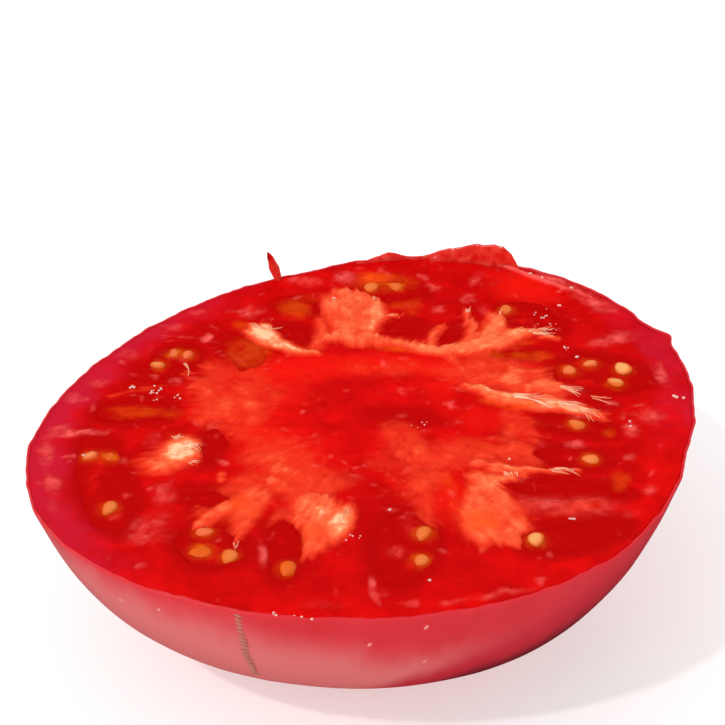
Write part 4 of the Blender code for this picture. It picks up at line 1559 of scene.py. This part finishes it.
CORK = cork()
print(CORK.name, len(CORK.node_tree.nodes), "nodes")

# %% Zipper scar on the skin
ZIPPER_BEARING = -111
ZIPPER_DRIFT = -1.4
ZIPPER_LENGTH = 21
ZIPPER_STITCHES = 18
SEAM_WIDTH = 0.16
STITCH_WIDTH = 0.42
STITCH_REACH = 0.7
SUNK = -0.02


def on_skin(depth, bearing, proud):
    """A point a little proud of the skin, at a depth under the face."""
    radius = dome_share(depth) * rim(bearing, rise(5, 0, depth)) + proud
    return np.stack([radius * np.cos(bearing), radius * np.sin(bearing), FACE_Z - depth], axis=-1)


def add_zipper():
    """A thin tube down the dome, with short thicker tubes across it at even steps."""
    depth = np.linspace(0.3, ZIPPER_LENGTH, 60)
    bearing = np.radians(ZIPPER_BEARING + ZIPPER_DRIFT * depth / ZIPPER_LENGTH)
    bearing = bearing + 0.006 * clouds(depth, 0 * depth, 3, 95)
    forms = [tube(on_skin(depth, bearing, SUNK), SEAM_WIDTH + 0 * depth)]
    for spot in np.linspace(2, 57, ZIPPER_STITCHES).astype(int):
        spread = np.linspace(-1, 1, 5)
        reach = STITCH_REACH / (rim(bearing[spot]) * dome_share(depth[spot]))
        path = on_skin(depth[spot] + 0.2 * spread, bearing[spot] + reach * spread, SUNK)
        forms.append(tube(path, STITCH_WIDTH * (1.1 - spread ** 2)))
    points, faces = joined(forms)
    return add_piece("zipper_scar", points, faces, CORK, [FRUIT])


add_zipper()

# %% [markdown]
# ## Floor, light and camera
#
# The half lies on a plain pale floor that glows a little, as an opal sheet with a lamp under it does. It
# could be a white card, but then the shadow under the dome would be darker.

# %% Floor
FLOOR_SIZE = 6
FLOOR_GLOW = 0.46


def add_floor():
    """A plane of backlit white acrylic, which wet surfaces mirror as a dim one."""
    material, tree, output, _ = start_material("backlit_white_acrylic")
    lit = add_node(
        tree,
        "BsdfPrincipled",
        {
            "Base Color": linear("#CACACA"),
            "Roughness": 0.9,
            "Emission Color": (1, 1, 1, 1),
            "Emission Strength": FLOOR_GLOW,
        },
    )
    mirrored = add_node(tree, "BsdfDiffuse", {"Color": linear("#484848")})
    ray = add_node(tree, "LightPath")
    mix = add_node(
        tree, "MixShader", {0: ray.outputs["Is Glossy Ray"], 1: lit.outputs[0], 2: mirrored.outputs[0]}
    )
    tree.links.new(mix.outputs[0], output.inputs["Surface"])
    bpy.ops.mesh.primitive_plane_add(size=FLOOR_SIZE)
    floor = bpy.context.object
    floor.name = "floor"
    floor.data.materials.append(material)
    print(floor.name, FLOOR_SIZE, "m square")


add_floor()

# %% [markdown]
# A sun-like lamp from the left makes the small glints and some darkening of the skin to the right,
# which painted shade in the skin's colour makes deeper, and a wide soft panel and a pale world fill
# the rest. Wet surfaces mirror a dimmer world than the one that lights them, as they would inside a
# tent of black cloth, and that keeps the reds deep.

# %% Light
WORLD_LIGHT = 0.84
WORLD_MIRRORED = 0.002
SUN_WIDTH = 2.5
scene = bpy.context.scene
scene.view_settings.view_transform = "Standard"


def add_lamp(name, kind, energy, azimuth, elevation, distance, mirrored=True, **settings):
    """A lamp that looks at the fruit. Azimuth 0 is in front of it, and -90 is on its left."""
    lamp = bpy.data.lights.new(name, kind)
    lamp.energy = energy
    for setting, value in settings.items():
        setattr(lamp, setting, value)
    made = bpy.data.objects.new(name, lamp)
    a, e = math.radians(azimuth), math.radians(elevation)
    place = Vector((math.sin(a) * math.cos(e), -math.cos(a) * math.cos(e), math.sin(e)))
    made.visible_glossy = mirrored
    made.location = place * distance
    made.rotation_euler = place.to_track_quat("Z", "Y").to_euler()
    scene.collection.objects.link(made)
    print(name, kind, energy)


def add_world():
    """A white world that lights the fruit, and that wet surfaces hardly mirror."""
    world = bpy.data.worlds.new("studio")
    world.use_nodes = True
    tree = world.node_tree
    tree.nodes.clear()
    ray = add_node(tree, "LightPath")
    lit = add_node(tree, "Background", {"Color": (1, 1, 1, 1), "Strength": WORLD_LIGHT})
    mirrored = add_node(tree, "Background", {"Color": (1, 1, 1, 1), "Strength": WORLD_MIRRORED})
    mix = add_node(
        tree, "MixShader", {0: ray.outputs["Is Glossy Ray"], 1: lit.outputs[0], 2: mirrored.outputs[0]}
    )
    output = add_node(tree, "OutputWorld")
    tree.links.new(mix.outputs[0], output.inputs["Surface"])
    world.cycles.sampling_method = "NONE"
    scene.world = world


add_world()
add_lamp("sun", "SUN", 0.95, -52, 52, 2, angle=math.radians(SUN_WIDTH))
add_lamp("soft_panel", "AREA", 0.8, -60, 70, 0.9, mirrored=False, size=0.7)

# %% [markdown]
# The camera looks down on the face from the front through a long lens. A short lens from close by would
# show more of the face, but would also make the front of the rim bulge.

# %% Camera
CAMERA_ELEVATION = 34
CAMERA_DISTANCE = 0.320
CAMERA_LENS = 85.9
SENSOR_WIDTH = 36
AIM = Vector((-0.0011, 0.01566, FACE_Z * MM))


def add_camera():
    """A camera that looks down at the middle of the face from the front."""
    camera = bpy.data.objects.new("camera", bpy.data.cameras.new("camera"))
    camera.data.lens = CAMERA_LENS
    camera.data.sensor_width = SENSOR_WIDTH
    camera.data.clip_start = 0.01
    tilt = math.radians(CAMERA_ELEVATION)
    camera.location = AIM + CAMERA_DISTANCE * Vector((0, -math.cos(tilt), math.sin(tilt)))
    camera.rotation_euler = (math.pi / 2 - tilt, 0, 0)
    scene.collection.objects.link(camera)
    scene.camera = camera
    print("camera at", [round(side / MM) for side in camera.location], "mm")


add_camera()
